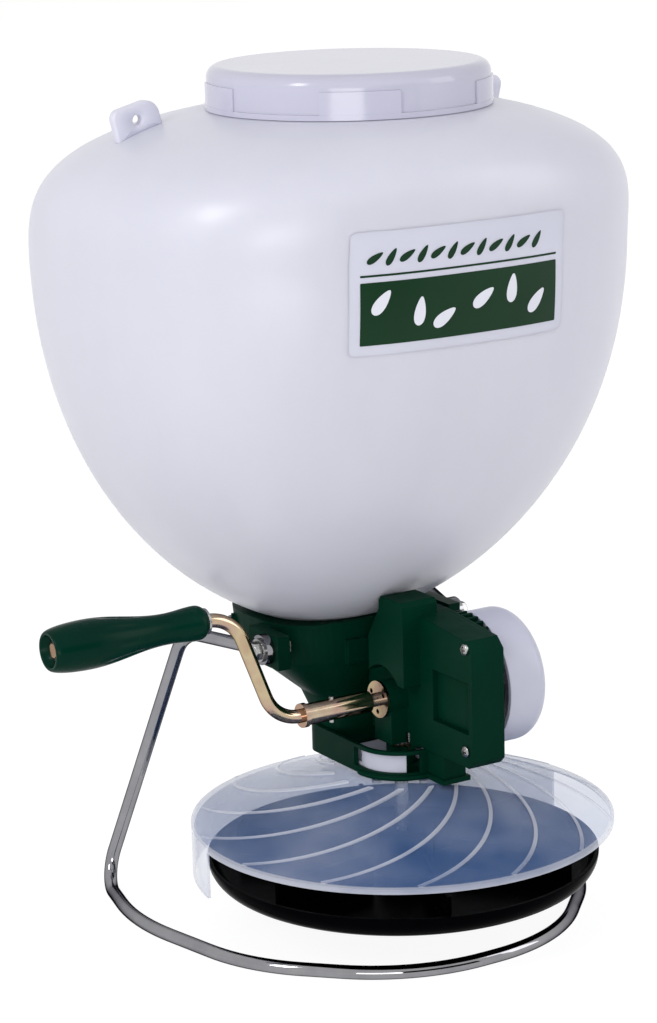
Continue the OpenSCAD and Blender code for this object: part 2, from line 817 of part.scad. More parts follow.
module guard() {
    rib_w = 2.2;
    rib_h = 1.6;
    rib_end_h = 0.5;
    rib_reach = 40;
    rib_sweep = 118;
    rib_start = -178;
    // ribs start where their tops are below the casing's floor, and end short of the rim
    rib_in_r = hub_r + rib_h * (guard_r - hub_r) / (hub_z - guard_rim_z) + 1.5;
    rib_out_r = guard_r - 1;
    hub_in_r = 12;
    lip_h = 1;
    inner_r = guard_r - guard_t;
    // the skirt stands within the rim's thickness
    skirt_in = 0.15;
    color("#c9cfe0")
    difference() {
        union() {
            rotate_extrude()
                polygon([
                    [hub_in_r, hub_z - guard_t], [hub_in_r, hub_z], [hub_r, hub_z], [guard_r, guard_rim_z],
                    [guard_r, guard_rim_z - guard_t - lip_h], [inner_r, guard_rim_z - guard_t - lip_h],
                    [inner_r - lip_h, guard_top(inner_r - lip_h) - guard_t], [hub_r, hub_z - guard_t]
                ]);
            rotate([0, 0, 90 - skirt_angle / 2])
                rotate_extrude(angle = skirt_angle)
                    translate([inner_r + skirt_in, guard_rim_z - skirt_h])
                        square([guard_t - 2 * skirt_in, skirt_h - 1.5]);
            intersection() {
                mirror([0, 1, 0])
                    for (i = [0:rib_count - 1])
                        rotate([0, 0, 360 * i / rib_count])
                            translate([rib_arc_off, 0, guard_rim_z - 4])
                                rotate([0, 0, rib_start])
                                    rotate_extrude(angle = rib_sweep)
                                        translate([rib_arc_r - rib_w / 2, 0]) square([rib_w, rib_reach]);
                rotate_extrude()
                    polygon([
                        [rib_in_r, guard_top(rib_in_r) - 1], [rib_in_r, guard_top(rib_in_r) + rib_h],
                        [rib_out_r, guard_top(rib_out_r) + rib_end_h], [rib_out_r, guard_top(rib_out_r) - 1]
                    ]);
            }
        }
        translate([port_left_x - 1, port_y - 1, 60]) cube([port_right_x - port_left_x + 2, port_l + 2, 60]);
        guard_screw_places() translate([0, 0, -10]) cylinder(r = 1.6, h = 20);
    }
}

module guard_screws() {
    color("silver")
    guard_screw_places() translate([0, 0, -guard_t]) screw(2.8, 1.8, 1.2, guard_t + 2);
}

// Length that a bend of radius r takes from each leg of the corner at b
function bend_cut(a, b, c, r) =
    let (u = (a - b) / norm(a - b), v = (c - b) / norm(c - b), half = acos(u * v) / 2)
    r / tan(half);

// Cylinder from a to b
module rod(a, b, r) {
    d = b - a;
    translate(a)
        rotate([0, acos(d[2] / norm(d)), atan2(d[1], d[0])])
            cylinder(r = r, h = norm(d), $fn = 48);
}

// Quarter of a torus, or less, that rounds the corner at b of the path a, b, c
module bend(a, b, c, r, bend_r) {
    u = (a - b) / norm(a - b);
    v = (c - b) / norm(c - b);
    half = acos(u * v) / 2;
    mid = (u + v) / norm(u + v);
    centre = b + mid * bend_r / sin(half);
    up = cross(u, v) / norm(cross(u, v));
    start = (b + u * bend_r / tan(half) - centre) / bend_r;
    side = cross(up, start);
    turn = 180 - 2 * half;
    // the arc runs from the first leg to the second one, the other way round about up
    multmatrix([
        [start[0], -side[0], -up[0], centre[0]],
        [start[1], -side[1], -up[1], centre[1]],
        [start[2], -side[2], -up[2], centre[2]],
        [0, 0, 0, 1]
    ])
        rotate_extrude(angle = turn) translate([bend_r, 0]) circle(r + bend_swell, $fn = 48);
}

// Round rod along a path of points, each inner corner rounded by its own bend radius
module bent_rod(path, r, bends) {
    last = len(path) - 1;
    cut = [
        for (i = [0:last])
            i == 0 || i == last ? 0 : bend_cut(path[i - 1], path[i], path[i + 1], bends[i])
    ];
    lap = [for (i = [0:last]) i == 0 || i == last ? 0 : bend_lap];
    for (i = [0:last - 1]) {
        d = (path[i + 1] - path[i]) / norm(path[i + 1] - path[i]);
        rod(path[i] + d * (cut[i] - lap[i]), path[i + 1] - d * (cut[i + 1] - lap[i + 1]), r);
    }
    for (i = [1:last - 1]) bend(path[i - 1], path[i], path[i + 1], r, bends[i]);
}

// The stand's path: one half from the eye down to the loop's front, then its mirror image
side_corner = [-foot_x - side_out, foot_y - side_run, rod_z];
front_corner = [-loop_r * tan(22.5), loop_front_y, rod_z];
flank_corner = [-loop_r, loop_front_y + loop_r - loop_r * tan(22.5), rod_z];
foot_corner = [-foot_x, foot_y, rod_z];
stand_half = [eye_pos, arm_end, foot_corner, side_corner, flank_corner, front_corner];
half_bends = [0, stand_bend, stand_bend, side_bend, front_bend, front_bend];
half_last = len(stand_half) - 1;
stand_path = concat(stand_half, [for (i = [half_last:-1:0]) let (p = stand_half[i]) [-p[0], p[1], p[2]]]);
stand_bends = concat(half_bends, [for (i = [half_last:-1:0]) half_bends[i]]);

module stand_frame() {
    color("silver")
    difference() {
        union() {
            bent_rod(stand_path, stand_r, stand_bends);
            // flattened eyes at the bolts
            bolt_places(0) cylinder(r = stand_eye_r, h = stand_eye_t);
        }
        for (side = [-1, 1]) {
            translate([side * -eye_pos[0], bolt_y, bolt_z])
                rotate([0, 90, 0]) cylinder(r = bolt_r + 0.3, h = 4 * stand_eye_t, center = true);
            // flats either side of the eye, for the washer and the pad
            translate([side * (-eye_pos[0] + stand_eye_t / 2 + 10), bolt_y, bolt_z])
                cube([20, 2 * stand_eye_r + 4, 3 * stand_eye_r], center = true);
            translate([side * (-eye_pos[0] - stand_eye_t / 2 - 10), bolt_y, bolt_z])
                cube([20, 2 * stand_eye_r + 4, 3 * stand_eye_r], center = true);
        }
    }
}

// Children drawn along +Z from the outside of the eye inwards, on both sides
module bolt_places(depth) {
    out = -eye_pos[0] + stand_eye_t / 2;
    translate([-out + depth, bolt_y, bolt_z]) rotate([0, 90, 0]) children();
    translate([out - depth, bolt_y, bolt_z]) rotate([0, -90, 0]) children();
}

module stand_washers() {
    color("silver")
    bolt_places(-stand_washer_t) bush(bolt_r + 0.3, stand_washer_r, stand_washer_t);
}

module stand_bolts() {
    color("silver")
    bolt_places(-stand_washer_t) {
        cylinder(r = bolt_r, h = stand_washer_t + stand_eye_t + 0.2 + pad_t + nut_t + bolt_past);
        translate([0, 0, -hex_head_t]) cylinder(r = hex_r, h = hex_head_t, $fn = 6);
    }
}

module stand_nuts() {
    color("silver")
    bolt_places(stand_eye_t + 0.2 + pad_t)
        difference() {
            cylinder(r = hex_r, h = nut_t, $fn = 6);
            translate([0, 0, -1]) cylinder(r = bolt_r + seat_fit, h = nut_t + 2);
        }
}

module crank_shaft() {
    color("#c8ccd0")
    difference() {
        x_rod(shaft_out_x, shaft_in_x - shaft_out_x, rod_r);
        translate([sleeve_pin_x, 0, crank_z]) cylinder(r = sleeve_pin_r + seat_fit, h = 30, center = true);
    }
}

module crank_sleeve() {
    color("#b98f6a")
    difference() {
        union() {
            x_rod(sleeve_out_x, sleeve_in_x - sleeve_out_x, sleeve_r);
            x_rod(sleeve_out_x, 3, sleeve_r + 0.9);
        }
        x_rod(sleeve_out_x - 1, sleeve_in_x - sleeve_out_x + 2, rod_r + seat_fit);
        translate([sleeve_pin_x, 0, crank_z]) cylinder(r = sleeve_pin_r + seat_fit, h = 30, center = true);
    }
}

module sleeve_pin() {
    pin_l = 2 * sleeve_r + 3;
    color("#c8ccd0")
    translate([sleeve_pin_x, 0, crank_z - pin_l / 2]) cylinder(r = sleeve_pin_r, h = pin_l);
}

crank_path = [
    [shaft_out_x - 1, 0, crank_z], [arm_x, 0, crank_z], [arm_x - arm_lean, 0, grip_z],
    [grip_out_x + 3, 0, grip_z]
];

module crank_rod() {
    color("#c9a86a") bent_rod(crank_path, rod_r, [0, crank_bend, crank_bend, 0]);
}

module crank_washer() {
    hole_ring_r = 7.4;
    hole_r = 1.5;
    color("#c8ccd0")
    translate([crank_boss_x - 0.2 - washer_t, 0, crank_z]) rotate([0, 90, 0])
        difference() {
            cylinder(r = washer_r, h = washer_t);
            translate([0, 0, -1]) cylinder(r = rod_r + seat_fit, h = washer_t + 2);
            for (a = [0, 120, 240])
                rotate([0, 0, a]) translate([hole_ring_r, 0, -1]) cylinder(r = hole_r, h = washer_t + 2);
        }
}

// One tooth of a straight-sided profile: half widths at the base and the tip, height h
module tooth(base, tip, h) {
    polygon([[-base, -0.6], [base, -0.6], [base, 0], [tip, h], [-tip, h], [-base, 0]]);
}

module crown_gear() {
    hub_r = 9;
    hub_x = box_wall + 0.5;
    hole_r = 4;
    hole_ring_r = 17;
    tooth_h = tooth_ded + tooth_add;
    color("#d9d3bd")
    difference() {
        union() {
            x_rod(crown_face_x, crown_disc_t, crown_rim_r);
            x_rod(hub_x, crown_face_x + crown_disc_t - hub_x, hub_r);
            for (i = [0:crown_teeth - 1])
                translate([crown_face_x, 0, crank_z])
                    rotate([(i + 0.5) * 360 / crown_teeth, 0, 0])
                        translate([0, 0, -crown_r - pinion_half_l])
                            linear_extrude(2 * pinion_half_l)
                                rotate([0, 0, 90]) tooth(0.95, 0.5, tooth_h);
        }
        x_rod(crown_face_x - 10, crown_disc_t + 20, rod_r + seat_fit);
        for (a = [30:60:330])
            translate([crown_face_x - 1, 0, crank_z]) rotate([a, 0, 0])
                translate([0, 0, hole_ring_r]) rotate([0, 90, 0]) cylinder(r = hole_r, h = crown_disc_t + 2);
    }
}

// Collar washers that hold the grip on the rod, one at each end
module grip_washers() {
    color("#c8ccd0")
    for (x = [grip_in_x + move_gap, grip_out_x + grip_recess - move_gap - grip_washer_t])
        translate([x, 0, grip_z]) rotate([0, 90, 0]) bush(rod_r + seat_fit, grip_washer_r, grip_washer_t);
}

// Value that runs smoothly from a to b as t goes from 0 to 1
function ease(a, b, t) = a + (b - a) * (1 - cos(180 * t)) / 2;

module crank_grip() {
    end_bore = 9;
    flute_r = 5;
    flute_l = 26;
    flute_place = 0.55;
    flute_tilt = 8.3;
    l = grip_l;
    // rounded nose at the rod's side, waist, belly and rounded outer end, as radii and places along the grip
    nose_r = 10;
    nose_l = 5;
    nose_drop = 3.4;
    waist_place = 0.25 * l;
    belly_place = 0.76 * l;
    end_drop = 3.6;
    color("#0e4a33")
    difference() {
        translate([grip_in_x, 0, grip_z]) rotate([0, -90, 0])
            rotate_extrude()
                polygon(concat(
                    [[0, 0]],
                    [for (i = [0:5])
                        let (a = 18 * i)
                        [nose_r - nose_drop * (1 - sin(a)), nose_l * (1 - cos(a))]],
                    [for (i = [1:6])
                        let (t = i / 6)
                        [ease(nose_r, grip_waist_r, t), nose_l + (waist_place - nose_l) * t]],
                    [for (i = [1:12])
                        let (t = i / 12)
                        [ease(grip_waist_r, grip_belly_r, t), waist_place + (belly_place - waist_place) * t]],
                    [for (i = [1:8])
                        let (a = 90 * i / 8)
                        [grip_belly_r - end_drop * (1 - cos(a)), belly_place + (l - belly_place) * sin(a)]],
                    [[0, l]]
                ));
        translate([grip_in_x + 1, 0, grip_z]) rotate([0, -90, 0]) cylinder(r = rod_r + run_fit, h = l + 2);
        translate([grip_out_x - 1, 0, grip_z]) rotate([0, 90, 0]) cylinder(r = end_bore, h = grip_recess + 1);
        // finger flutes round the middle of the grip
        for (a = [0:45:315])
            translate([grip_in_x - flute_place * l, 0, grip_z]) rotate([a, 0, 0])
                translate([0, 0, 0.5 * (grip_waist_r + grip_belly_r) + flute_r])
                    rotate([0, 90 + flute_tilt, 0]) cylinder(r = flute_r, h = flute_l, center = true);
    }
}

disc_nut_t = 6.5;
shaft_low_z = disc_z - disc_nut_t - 1.5;
neck_low_z = mesh_z - pinion_half_l - 0.2;

module spreader_shaft() {
    color("#c8ccd0") {
        translate([0, 0, shaft_low_z]) cylinder(r = shaft_r, h = neck_low_z - shaft_low_z);
        translate([0, 0, neck_low_z - 1])
            cylinder(r = shaft_neck_r, h = neck_bush_z + neck_bush_l - neck_low_z + 1);
    }
}

module pinion() {
    root_r = pinion_r - 0.95 * drive_module;
    color("#c8ccd0")
    translate([0, 0, mesh_z - pinion_half_l])
        linear_extrude(2 * pinion_half_l)
            difference() {
                union() {
                    circle(root_r);
                    for (i = [0:pinion_teeth - 1])
                        rotate([0, 0, i * 360 / pinion_teeth - 90])
                            translate([0, root_r]) tooth(1.2, 0.5, pinion_r + tooth_add - root_r);
                }
                circle(shaft_neck_r + 0.02);
            }
}

module spreader_disc() {
    plate_t = 2.4;
    rim_round = 14;
    hub_low_r = 20;
    hub_top_r = 13;
    hub_h = 26;
    vane_t = 2.4;
    vane_in_r = 30;
    vane_lean = 12;
    flat_r = disc_r - rim_round;
    color("#141416")
    difference() {
        union() {
            translate([0, 0, disc_z]) rotate_extrude() {
                square([flat_r, plate_t]);
                translate([flat_r, rim_round])
                    intersection() {
                        difference() {
                            circle(rim_round);
                            circle(rim_round - plate_t);
                        }
                        translate([-0.5, -rim_round]) square([rim_round + 0.5, rim_round]);
                    }
                polygon([[0, 0], [hub_low_r, 0], [hub_low_r, plate_t], [hub_top_r, hub_h], [0, hub_h]]);
            }
            for (i = [0:vane_count - 1])
                rotate([0, 0, 360 * i / vane_count + 20])
                    translate([vane_in_r, -vane_t / 2, disc_z + 1])
                        rotate([0, 0, -vane_lean])
                            cube([flat_r - vane_in_r, vane_t, plate_t + vane_h - 1]);
        }
        translate([0, 0, disc_z - 1]) cylinder(r = shaft_r + 0.02, h = hub_h + 2);
    }
}

module disc_nut() {
    color("silver")
    translate([0, 0, disc_z - disc_nut_t])
        difference() {
            cylinder(r = shaft_r + 3.5, h = disc_nut_t, $fn = 6);
            translate([0, 0, -1]) cylinder(r = shaft_r + 0.02, h = disc_nut_t + 2);
        }
}

module metering_knob() {
    wall = 2.6;
    round_r = 8;
    hub_r = 9;
    rib_t = 2;
    color("#e6e8f0")
    difference() {
        union() {
            translate([knob_x, knob_y, knob_z]) rotate([0, 90, 0]) rotate_extrude()
                difference() {
                    union() {
                        square([knob_r, knob_l - round_r]);
                        square([knob_r - round_r, knob_l]);
                        translate([knob_r - round_r, knob_l - round_r]) circle(round_r);
                    }
                    translate([-1, -1]) square([knob_r - wall + 1, knob_l - round_r + 1]);
                    translate([-1, -1]) square([knob_r - round_r + 1, knob_l - wall + 1]);
                    translate([-2 * knob_r, -1]) square([2 * knob_r, knob_l + 2]);
                }
            knob_rod(cover_end_x + move_gap, knob_x + knob_l - cover_end_x - move_gap, hub_r);
            // ribs from the hub to the drum
            for (a = [0:60:300])
                translate([knob_x + 2, knob_y, knob_z]) rotate([a, 0, 0])
                    translate([0, -rib_t / 2, hub_r - 1]) cube([knob_l - round_r - 2, rib_t, knob_r - hub_r - 1]);
        }
        knob_rod(cover_end_x - 1, axle_end_x - cover_end_x + 1.4, axle_r + seat_fit);
        knob_rod(axle_end_x + 0.4, knob_l, 7);
    }
}

// Toothed sector inside the gear case, in one piece with the knob's axle
module knob_gear() {
    root_r = knob_gear_r - 1.2 * rack_module;
    tip_h = 2.1 * rack_module;
    hub_r = 10;
    tooth_angle = rack_pitch / knob_gear_r * 180 / PI;
    turn = gate_travel / knob_gear_r * 180 / PI;
    first = -ceil(turn / tooth_angle) - 1;
    reach = knob_gear_r + 10;
    color("#dfe2ea")
    difference() {
        union() {
            intersection() {
                along_x(rack_x, rack_t)
                    translate([knob_y, knob_z]) union() {
                        circle(root_r);
                        for (i = [first:1])
                            rotate([0, 0, 180 + tooth_angle * i])
                                translate([0, root_r]) tooth(tooth_base, tooth_tip, tip_h);
                    }
                // a sector hanging from the hub
                along_x(rack_x - 1, rack_t + 2)
                    translate([knob_y, knob_z]) union() {
                        circle(hub_r);
                        rotate([0, 0, 180 + tooth_angle * (first - 0.5)])
                            polygon([for (i = [0:4])
                                let (a = i * (1.9 - first) * tooth_angle / 4)
                                [-reach * sin(a), reach * cos(a)], [0, 0]]);
                    }
            }
            knob_rod(rack_x, axle_end_x - rack_x, axle_r);
        }
        knob_rod(axle_end_x - 14, 15, knob_screw_r + seat_fit);
    }
}

module knob_screw() {
    shank_l = 12;
    washer_t = 1.2;
    washer_r = 6.6;
    washer_gap = 0.4;
    head_r = 4;
    head_t = 2.6;
    color("silver")
    translate([axle_end_x, knob_y, knob_z]) rotate([0, 90, 0]) {
        translate([0, 0, -shank_l]) cylinder(r = knob_screw_r, h = shank_l + washer_gap + 0.1);
        translate([0, 0, washer_gap]) cylinder(r = washer_r, h = washer_t);
        translate([0, 0, washer_gap + washer_t - 0.1]) cylinder(r = head_r, h = head_t);
    }
}

module gate_slide() {
    lip_t = 2.2;
    lip_h = 11.5;
    lip_start = 167;
    lip_angle = 77.5;
    rack_front = knob_y - gate_travel - 1.5 * rack_pitch;
    root_z = rack_line_z - 1.2 * rack_module;
    corner_x = gate_half_w - gate_corner_r;
    corner_y = gate_back_y - gate_corner_r;
    color("#eceef4")
    difference() {
        union() {
            // plate, round in front
            translate([0, 0, gate_z])
                linear_extrude(gate_t)
                    union() {
                        circle(gate_lip_r - 0.2);
                        translate([-gate_half_w, 0]) square([2 * gate_half_w, corner_y]);
                        translate([-corner_x, 0]) square([2 * corner_x, gate_back_y]);
                        for (side = [-1, 1])
                            translate([side * corner_x, corner_y]) circle(gate_corner_r);
                    }
            // curved wall that shows in the window
            translate([0, 0, gate_z])
                rotate([0, 0, lip_start])
                    rotate_extrude(angle = lip_angle)
                        translate([gate_lip_r - lip_t, 0]) square([lip_t, lip_h]);
            // upright through the gear case's bottom, and the rack on it
            along_x(rack_x, rack_t) union() {
                translate([upright_y, gate_z]) square([upright_l, root_z - gate_z]);
                translate([rack_front, root_z - rack_bar_t])
                    square([upright_y + upright_l - rack_front, rack_bar_t]);
                for (k = [-floor(gate_travel / rack_pitch) - 1:1])
                    translate([knob_y + (k - 0.5) * rack_pitch, root_z])
                        tooth(tooth_base, tooth_tip, 2.05 * rack_module);
            }
        }
        // fork round the shaft's boss, open to the front
        translate([-gate_slot_x, -gate_lip_r - 1, gate_z - 1])
            cube([2 * gate_slot_x, gate_plate_y + gate_lip_r + 1, gate_t + 2]);
    }
}

hopper();
lid();
lid_seal();
funnel_housing();
hopper_screws();
outlet_casing();
gearbox_housing();
gearbox_cover();
gearbox_screws();
crank_bushes();
shaft_bushes();
guard();
guard_screws();
stand_frame();
stand_bolts();
stand_washers();
stand_nuts();
crank_shaft();
crank_sleeve();
sleeve_pin();
crank_rod();
crank_washer();
crown_gear();
grip_washers();
crank_grip();
spreader_shaft();
pinion();
spreader_disc();
disc_nut();
metering_knob();
knob_gear();
knob_screw();
gate_slide();
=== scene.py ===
"""Looks of the hand-cranked seed spreader: materials, softened pieces, label, fasteners and studio."""

import math

import bpy
import numpy as np
from mathutils import Matrix, Vector


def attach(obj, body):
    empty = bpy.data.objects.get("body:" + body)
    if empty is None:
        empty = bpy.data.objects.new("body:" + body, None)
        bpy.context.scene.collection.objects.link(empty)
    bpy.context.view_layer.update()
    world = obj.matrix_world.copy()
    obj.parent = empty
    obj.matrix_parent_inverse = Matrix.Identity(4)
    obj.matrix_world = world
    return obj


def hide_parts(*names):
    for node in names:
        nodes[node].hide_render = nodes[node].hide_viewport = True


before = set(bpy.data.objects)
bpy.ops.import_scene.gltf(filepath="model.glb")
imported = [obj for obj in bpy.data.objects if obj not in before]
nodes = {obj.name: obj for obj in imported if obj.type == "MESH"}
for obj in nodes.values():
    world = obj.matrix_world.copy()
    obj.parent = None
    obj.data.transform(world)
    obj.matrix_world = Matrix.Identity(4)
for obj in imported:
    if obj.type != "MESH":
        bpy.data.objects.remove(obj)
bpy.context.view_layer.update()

MM = 0.001

# Sizes shared with the solids, in millimetres

HOPPER_HALF_W = 170.0
HOPPER_HALF_D = 150.0
WIDEST_Z = 399.0
SHOULDER_H = 88.0
SHOULDER_POWER = 3.36
BELLY_DROP = 231.0
BELLY_CURVE = 2.2
BELLY_POWER = 0.56
PLAN_POWER = 2.5
BOTTOM_EASE = 0.3    # how much rounder the plan gets towards the bottom
HOPPER_Y = 66.0
OUTLET_Y = 79.0
NECK_Y = 40.0
NECK_R = 78.0
NECK_BASE_R = 84.0
NECK_H = 19.5
HOPPER_BOTTOM_Z = 178.0
SPOUT_R = 40.0
SPOUT_L = 18.0
WALL = 2.6
GUARD_R = 125.0
GUARD_RIM_Z = 65.0
GUARD_HUB_R = 34.0
GUARD_HUB_Z = 95.0

# Fineness of the meshes

RING_POINTS = 256
FASTENER_POINTS = 48
HALVINGS = 40


# Mesh helpers

def add_object(name, mesh, body, material, smooth=True):
    """Links a mesh as a piece that rides on a CAD body."""
    piece = bpy.data.objects.new(name, mesh)
    bpy.context.scene.collection.objects.link(piece)
    piece.data.materials.append(material)
    if smooth:
        piece.data.polygons.foreach_set("use_smooth", [True] * len(piece.data.polygons))
    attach(piece, body)
    return piece


def mesh_from(name, points, faces):
    """Mesh from points in millimetres."""
    mesh = bpy.data.meshes.new(name)
    mesh.from_pydata([tuple(c * MM for c in p) for p in points], [], faces)
    mesh.update()
    return mesh


def ring_surface(name, rings, closed=False):
    """Skin through a list of equal closed rings; closed joins the last ring to the first."""
    count = len(rings[0])
    points = [tuple(p) for ring in rings for p in ring]
    faces = []
    last = len(rings) if closed else len(rings) - 1
    for j in range(last):
        a, b = j * count, ((j + 1) % len(rings)) * count
        for i in range(count):
            k = (i + 1) % count
            faces.append((a + i, a + k, b + k, b + i))
    return mesh_from(name, points, faces)


def superellipse(half_x, half_y, power, centre_y, z, count=RING_POINTS):
    """Ring of points of a rounded rectangle."""
    t = np.linspace(0, 2 * math.pi, count, endpoint=False)
    c, s = np.cos(t), np.sin(t)
    x = half_x * np.sign(c) * np.abs(c) ** (2 / power)
    y = centre_y + half_y * np.sign(s) * np.abs(s) ** (2 / power)
    return np.stack([x, y, np.full_like(t, z)], 1)


def belly_section(phi, inset=0.0):
    """Half sizes, squareness, centre and height of the hopper below its widest level."""
    drop = math.sin(phi) ** (2 / BELLY_CURVE)
    share = math.cos(phi) ** (2 * BELLY_POWER)
    return (HOPPER_HALF_W * share - inset, HOPPER_HALF_D * share - inset, PLAN_POWER - BOTTOM_EASE * drop,
            HOPPER_Y + (OUTLET_Y - HOPPER_Y) * drop * drop, WIDEST_Z - BELLY_DROP * drop)


def shoulder_section(phi, inset=0.0):
    """The same for the shoulder, where the share of the full width is cos(phi)."""
    share = math.cos(phi)
    blend = (1 - share) / (1 - NECK_BASE_R / HOPPER_HALF_W)
    ratio = HOPPER_HALF_D / HOPPER_HALF_W
    ratio += (1 - ratio) * blend
    half = HOPPER_HALF_W * share
    return (half - inset, half * ratio - inset, PLAN_POWER - (PLAN_POWER - 2) * blend,
            HOPPER_Y + (NECK_Y - HOPPER_Y) * math.sqrt(blend),
            WIDEST_Z + (SHOULDER_H - inset) * math.sin(phi) ** (2 / SHOULDER_POWER))


def hopper_sections(inset, belly_steps=90, shoulder_steps=64):
    """Sections of the hopper's skin from the bottom up."""
    low = math.asin(((WIDEST_Z - HOPPER_BOTTOM_Z - inset) / BELLY_DROP) ** (BELLY_CURVE / 2))
    high = math.acos(NECK_BASE_R / HOPPER_HALF_W)
    belly = [belly_section(low * i / belly_steps, inset) for i in range(belly_steps, 0, -1)]
    shoulder = [shoulder_section(high * i / shoulder_steps, inset) for i in range(shoulder_steps + 1)]
    return belly + shoulder


def hopper_front(x, z):
    """Place on the hopper's front skin at x and height z, near the widest level."""
    if z >= WIDEST_Z:
        rise = (z - WIDEST_Z) / SHOULDER_H
        section = shoulder_section(math.asin(min(1.0, rise ** (SHOULDER_POWER / 2))))
    else:
        drop = (WIDEST_Z - z) / BELLY_DROP
        section = belly_section(math.asin(min(1.0, drop ** (BELLY_CURVE / 2))))
    half_x, half_y, power, centre_y, _ = section
    return centre_y - half_y * (1 - abs(x / half_x) ** power) ** (1 / power)


def hopper_top(x, y):
    """Height of the hopper's shoulder at x and y."""
    low, high = 0.0, math.acos(NECK_BASE_R / HOPPER_HALF_W)
    for _ in range(HALVINGS):
        phi = (low + high) / 2
        half_x, half_y, power, centre_y, _z = shoulder_section(phi)
        inside = abs(x / half_x) ** power + abs((y - centre_y) / half_y) ** power < 1
        low, high = (phi, high) if inside else (low, phi)
    return shoulder_section(low)[4]


def on_label(x, z, lift):
    """Point at x and z on the hopper's front, raised off the skin by lift."""
    step = 0.5
    y = hopper_front(x, z)
    along_x = (hopper_front(x + step, z) - hopper_front(x - step, z)) / (2 * step)
    along_z = (hopper_front(x, z + step) - hopper_front(x, z - step)) / (2 * step)
    size = math.sqrt(along_x ** 2 + along_z ** 2 + 1)
    return (x + lift * along_x / size, y - lift / size, z + lift * along_z / size)


def ease(a, b, t):
    """Runs smoothly from a to b as t goes from 0 to 1."""
    return a + (b - a) * (1 - math.cos(math.pi * t)) / 2


def placed(points, origin, axis):
    """Points drawn along +Z, turned so that +Z runs along axis from origin."""
    turn = Vector((0, 0, 1)).rotation_difference(Vector(axis)).to_matrix()
    return [tuple(turn @ Vector(tuple(p)) + Vector(origin)) for p in points]


def skin_faces(count, rings, first=0):
    """Faces through a stack of equal closed rings, with a cap on the first and the last."""
    faces = [tuple(first + i for i in range(count - 1, -1, -1))]
    for j in range(rings - 1):
        a, b = first + j * count, first + (j + 1) * count
        faces += [(a + i, a + (i + 1) % count, b + (i + 1) % count, b + i) for i in range(count)]
    faces.append(tuple(first + (rings - 1) * count + i for i in range(count)))
    return faces


def joined(name, stacks):
    """One mesh of several capped stacks of rings; each stack is a list of rings of points."""
    points, faces = [], []
    for rings in stacks:
        faces += skin_faces(len(rings[0]), len(rings), len(points))
        points += [tuple(p) for ring in rings for p in ring]
    return mesh_from(name, points, faces)


# Fasteners, drawn along +Z with the seat of the head at z = 0 and the head below it

def round_ring(r, z, count=FASTENER_POINTS):
    """Ring of a round shank or head."""
    t = np.linspace(0, 2 * math.pi, count, endpoint=False)
    return np.stack([r * np.cos(t), r * np.sin(t), np.full_like(t, z)], 1)


def shank_rings(r, start, length, pitch=0.8, depth=0.22):
    """Rings of a threaded shank with a pointed lead at its end."""
    tip_r = 0.55 * r
    rings = [round_ring(r, start)]
    z = start + pitch
    while z < start + length - 2 * pitch:
        rings += [round_ring(r - depth, z), round_ring(r, z + pitch / 2)]
        z += pitch
    return rings + [round_ring(r - depth, start + length - pitch), round_ring(tip_r, start + length)]


def cross_screw(head_r, head_t, shank_r, length):
    """Rings of a pan-head screw with a cross recess, from the top of its head to its tip."""
    arm_half, arm_reach, depth = 0.17 * head_r, 0.62 * head_r, 0.55 * head_t
    dome_drop, side_h, seat_r = 0.42, 0.12 * head_t, 0.97 * head_r
    shares = np.concatenate([np.linspace(0.04, 0.76, 17), [0.84, 0.9, 0.95, 0.985, 1.0]])
    rings = []
    for share in shares:
        ring = round_ring(share * head_r, -head_t * (1 - dome_drop * share ** 3))
        x, y = np.abs(ring[:, 0]), np.abs(ring[:, 1])
        recess = ((x < arm_half) & (y < arm_reach)) | ((y < arm_half) & (x < arm_reach))
        ring[recess, 2] += depth
        rings.append(ring)
    rings += [round_ring(head_r, -side_h), round_ring(seat_r, 0.0)]
    return rings + shank_rings(shank_r, 0.0, length)


def hex_ring(flat, z, limit=math.inf, count=FASTENER_POINTS):
    """Ring of a hexagon with the half width flat, cut off at the radius limit."""
    t = np.linspace(0, 2 * math.pi, count, endpoint=False)
    r = np.minimum(flat / np.cos((t + math.pi / 6) % (math.pi / 3) - math.pi / 6), limit)
    return np.stack([r * np.cos(t), r * np.sin(t), np.full_like(t, z)], 1)


def hex_rings(corner_r, low, high):
    """Rings of a hexagonal head with chamfered ends."""
    flat = corner_r * math.cos(math.pi / 6)
    edge = corner_r - flat
    top_r, seat_r = 0.97 * flat, 1.02 * flat
    chamfer = [(0.4 * edge, flat + 0.35 * edge), (0.9 * edge, math.inf)]
    top = [hex_ring(flat, low, top_r)] + [hex_ring(flat, low + drop, limit) for drop, limit in chamfer]
    return top + [hex_ring(flat, high - 0.5 * edge), hex_ring(flat, high, seat_r)]


def hex_bolt(corner_r, head_t, shank_r, length):
    """Rings of a hexagonal bolt from the top of its head to its end."""
    pitch, depth = 1.0, 0.3
    return hex_rings(corner_r, -head_t, 0.0) + shank_rings(shank_r, 0.0, length, pitch, depth)


def set_of(name, body, node, material, stacks):
    """Piece made of several fasteners that takes the place of their CAD node."""
    piece = add_object(name, joined(name, stacks), body, material, smooth=False)
    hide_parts(node)


# Material helpers

NOISE_LOW, NOISE_HIGH = 0.3, 0.7    # where most of a noise texture's values lie


def new_material(name):
    """Node material with its tree and its surface shader."""
    material = bpy.data.materials.new(name)
    material.use_nodes = True
    tree = material.node_tree
    shader = tree.nodes["Principled BSDF"]
    return material, tree, shader


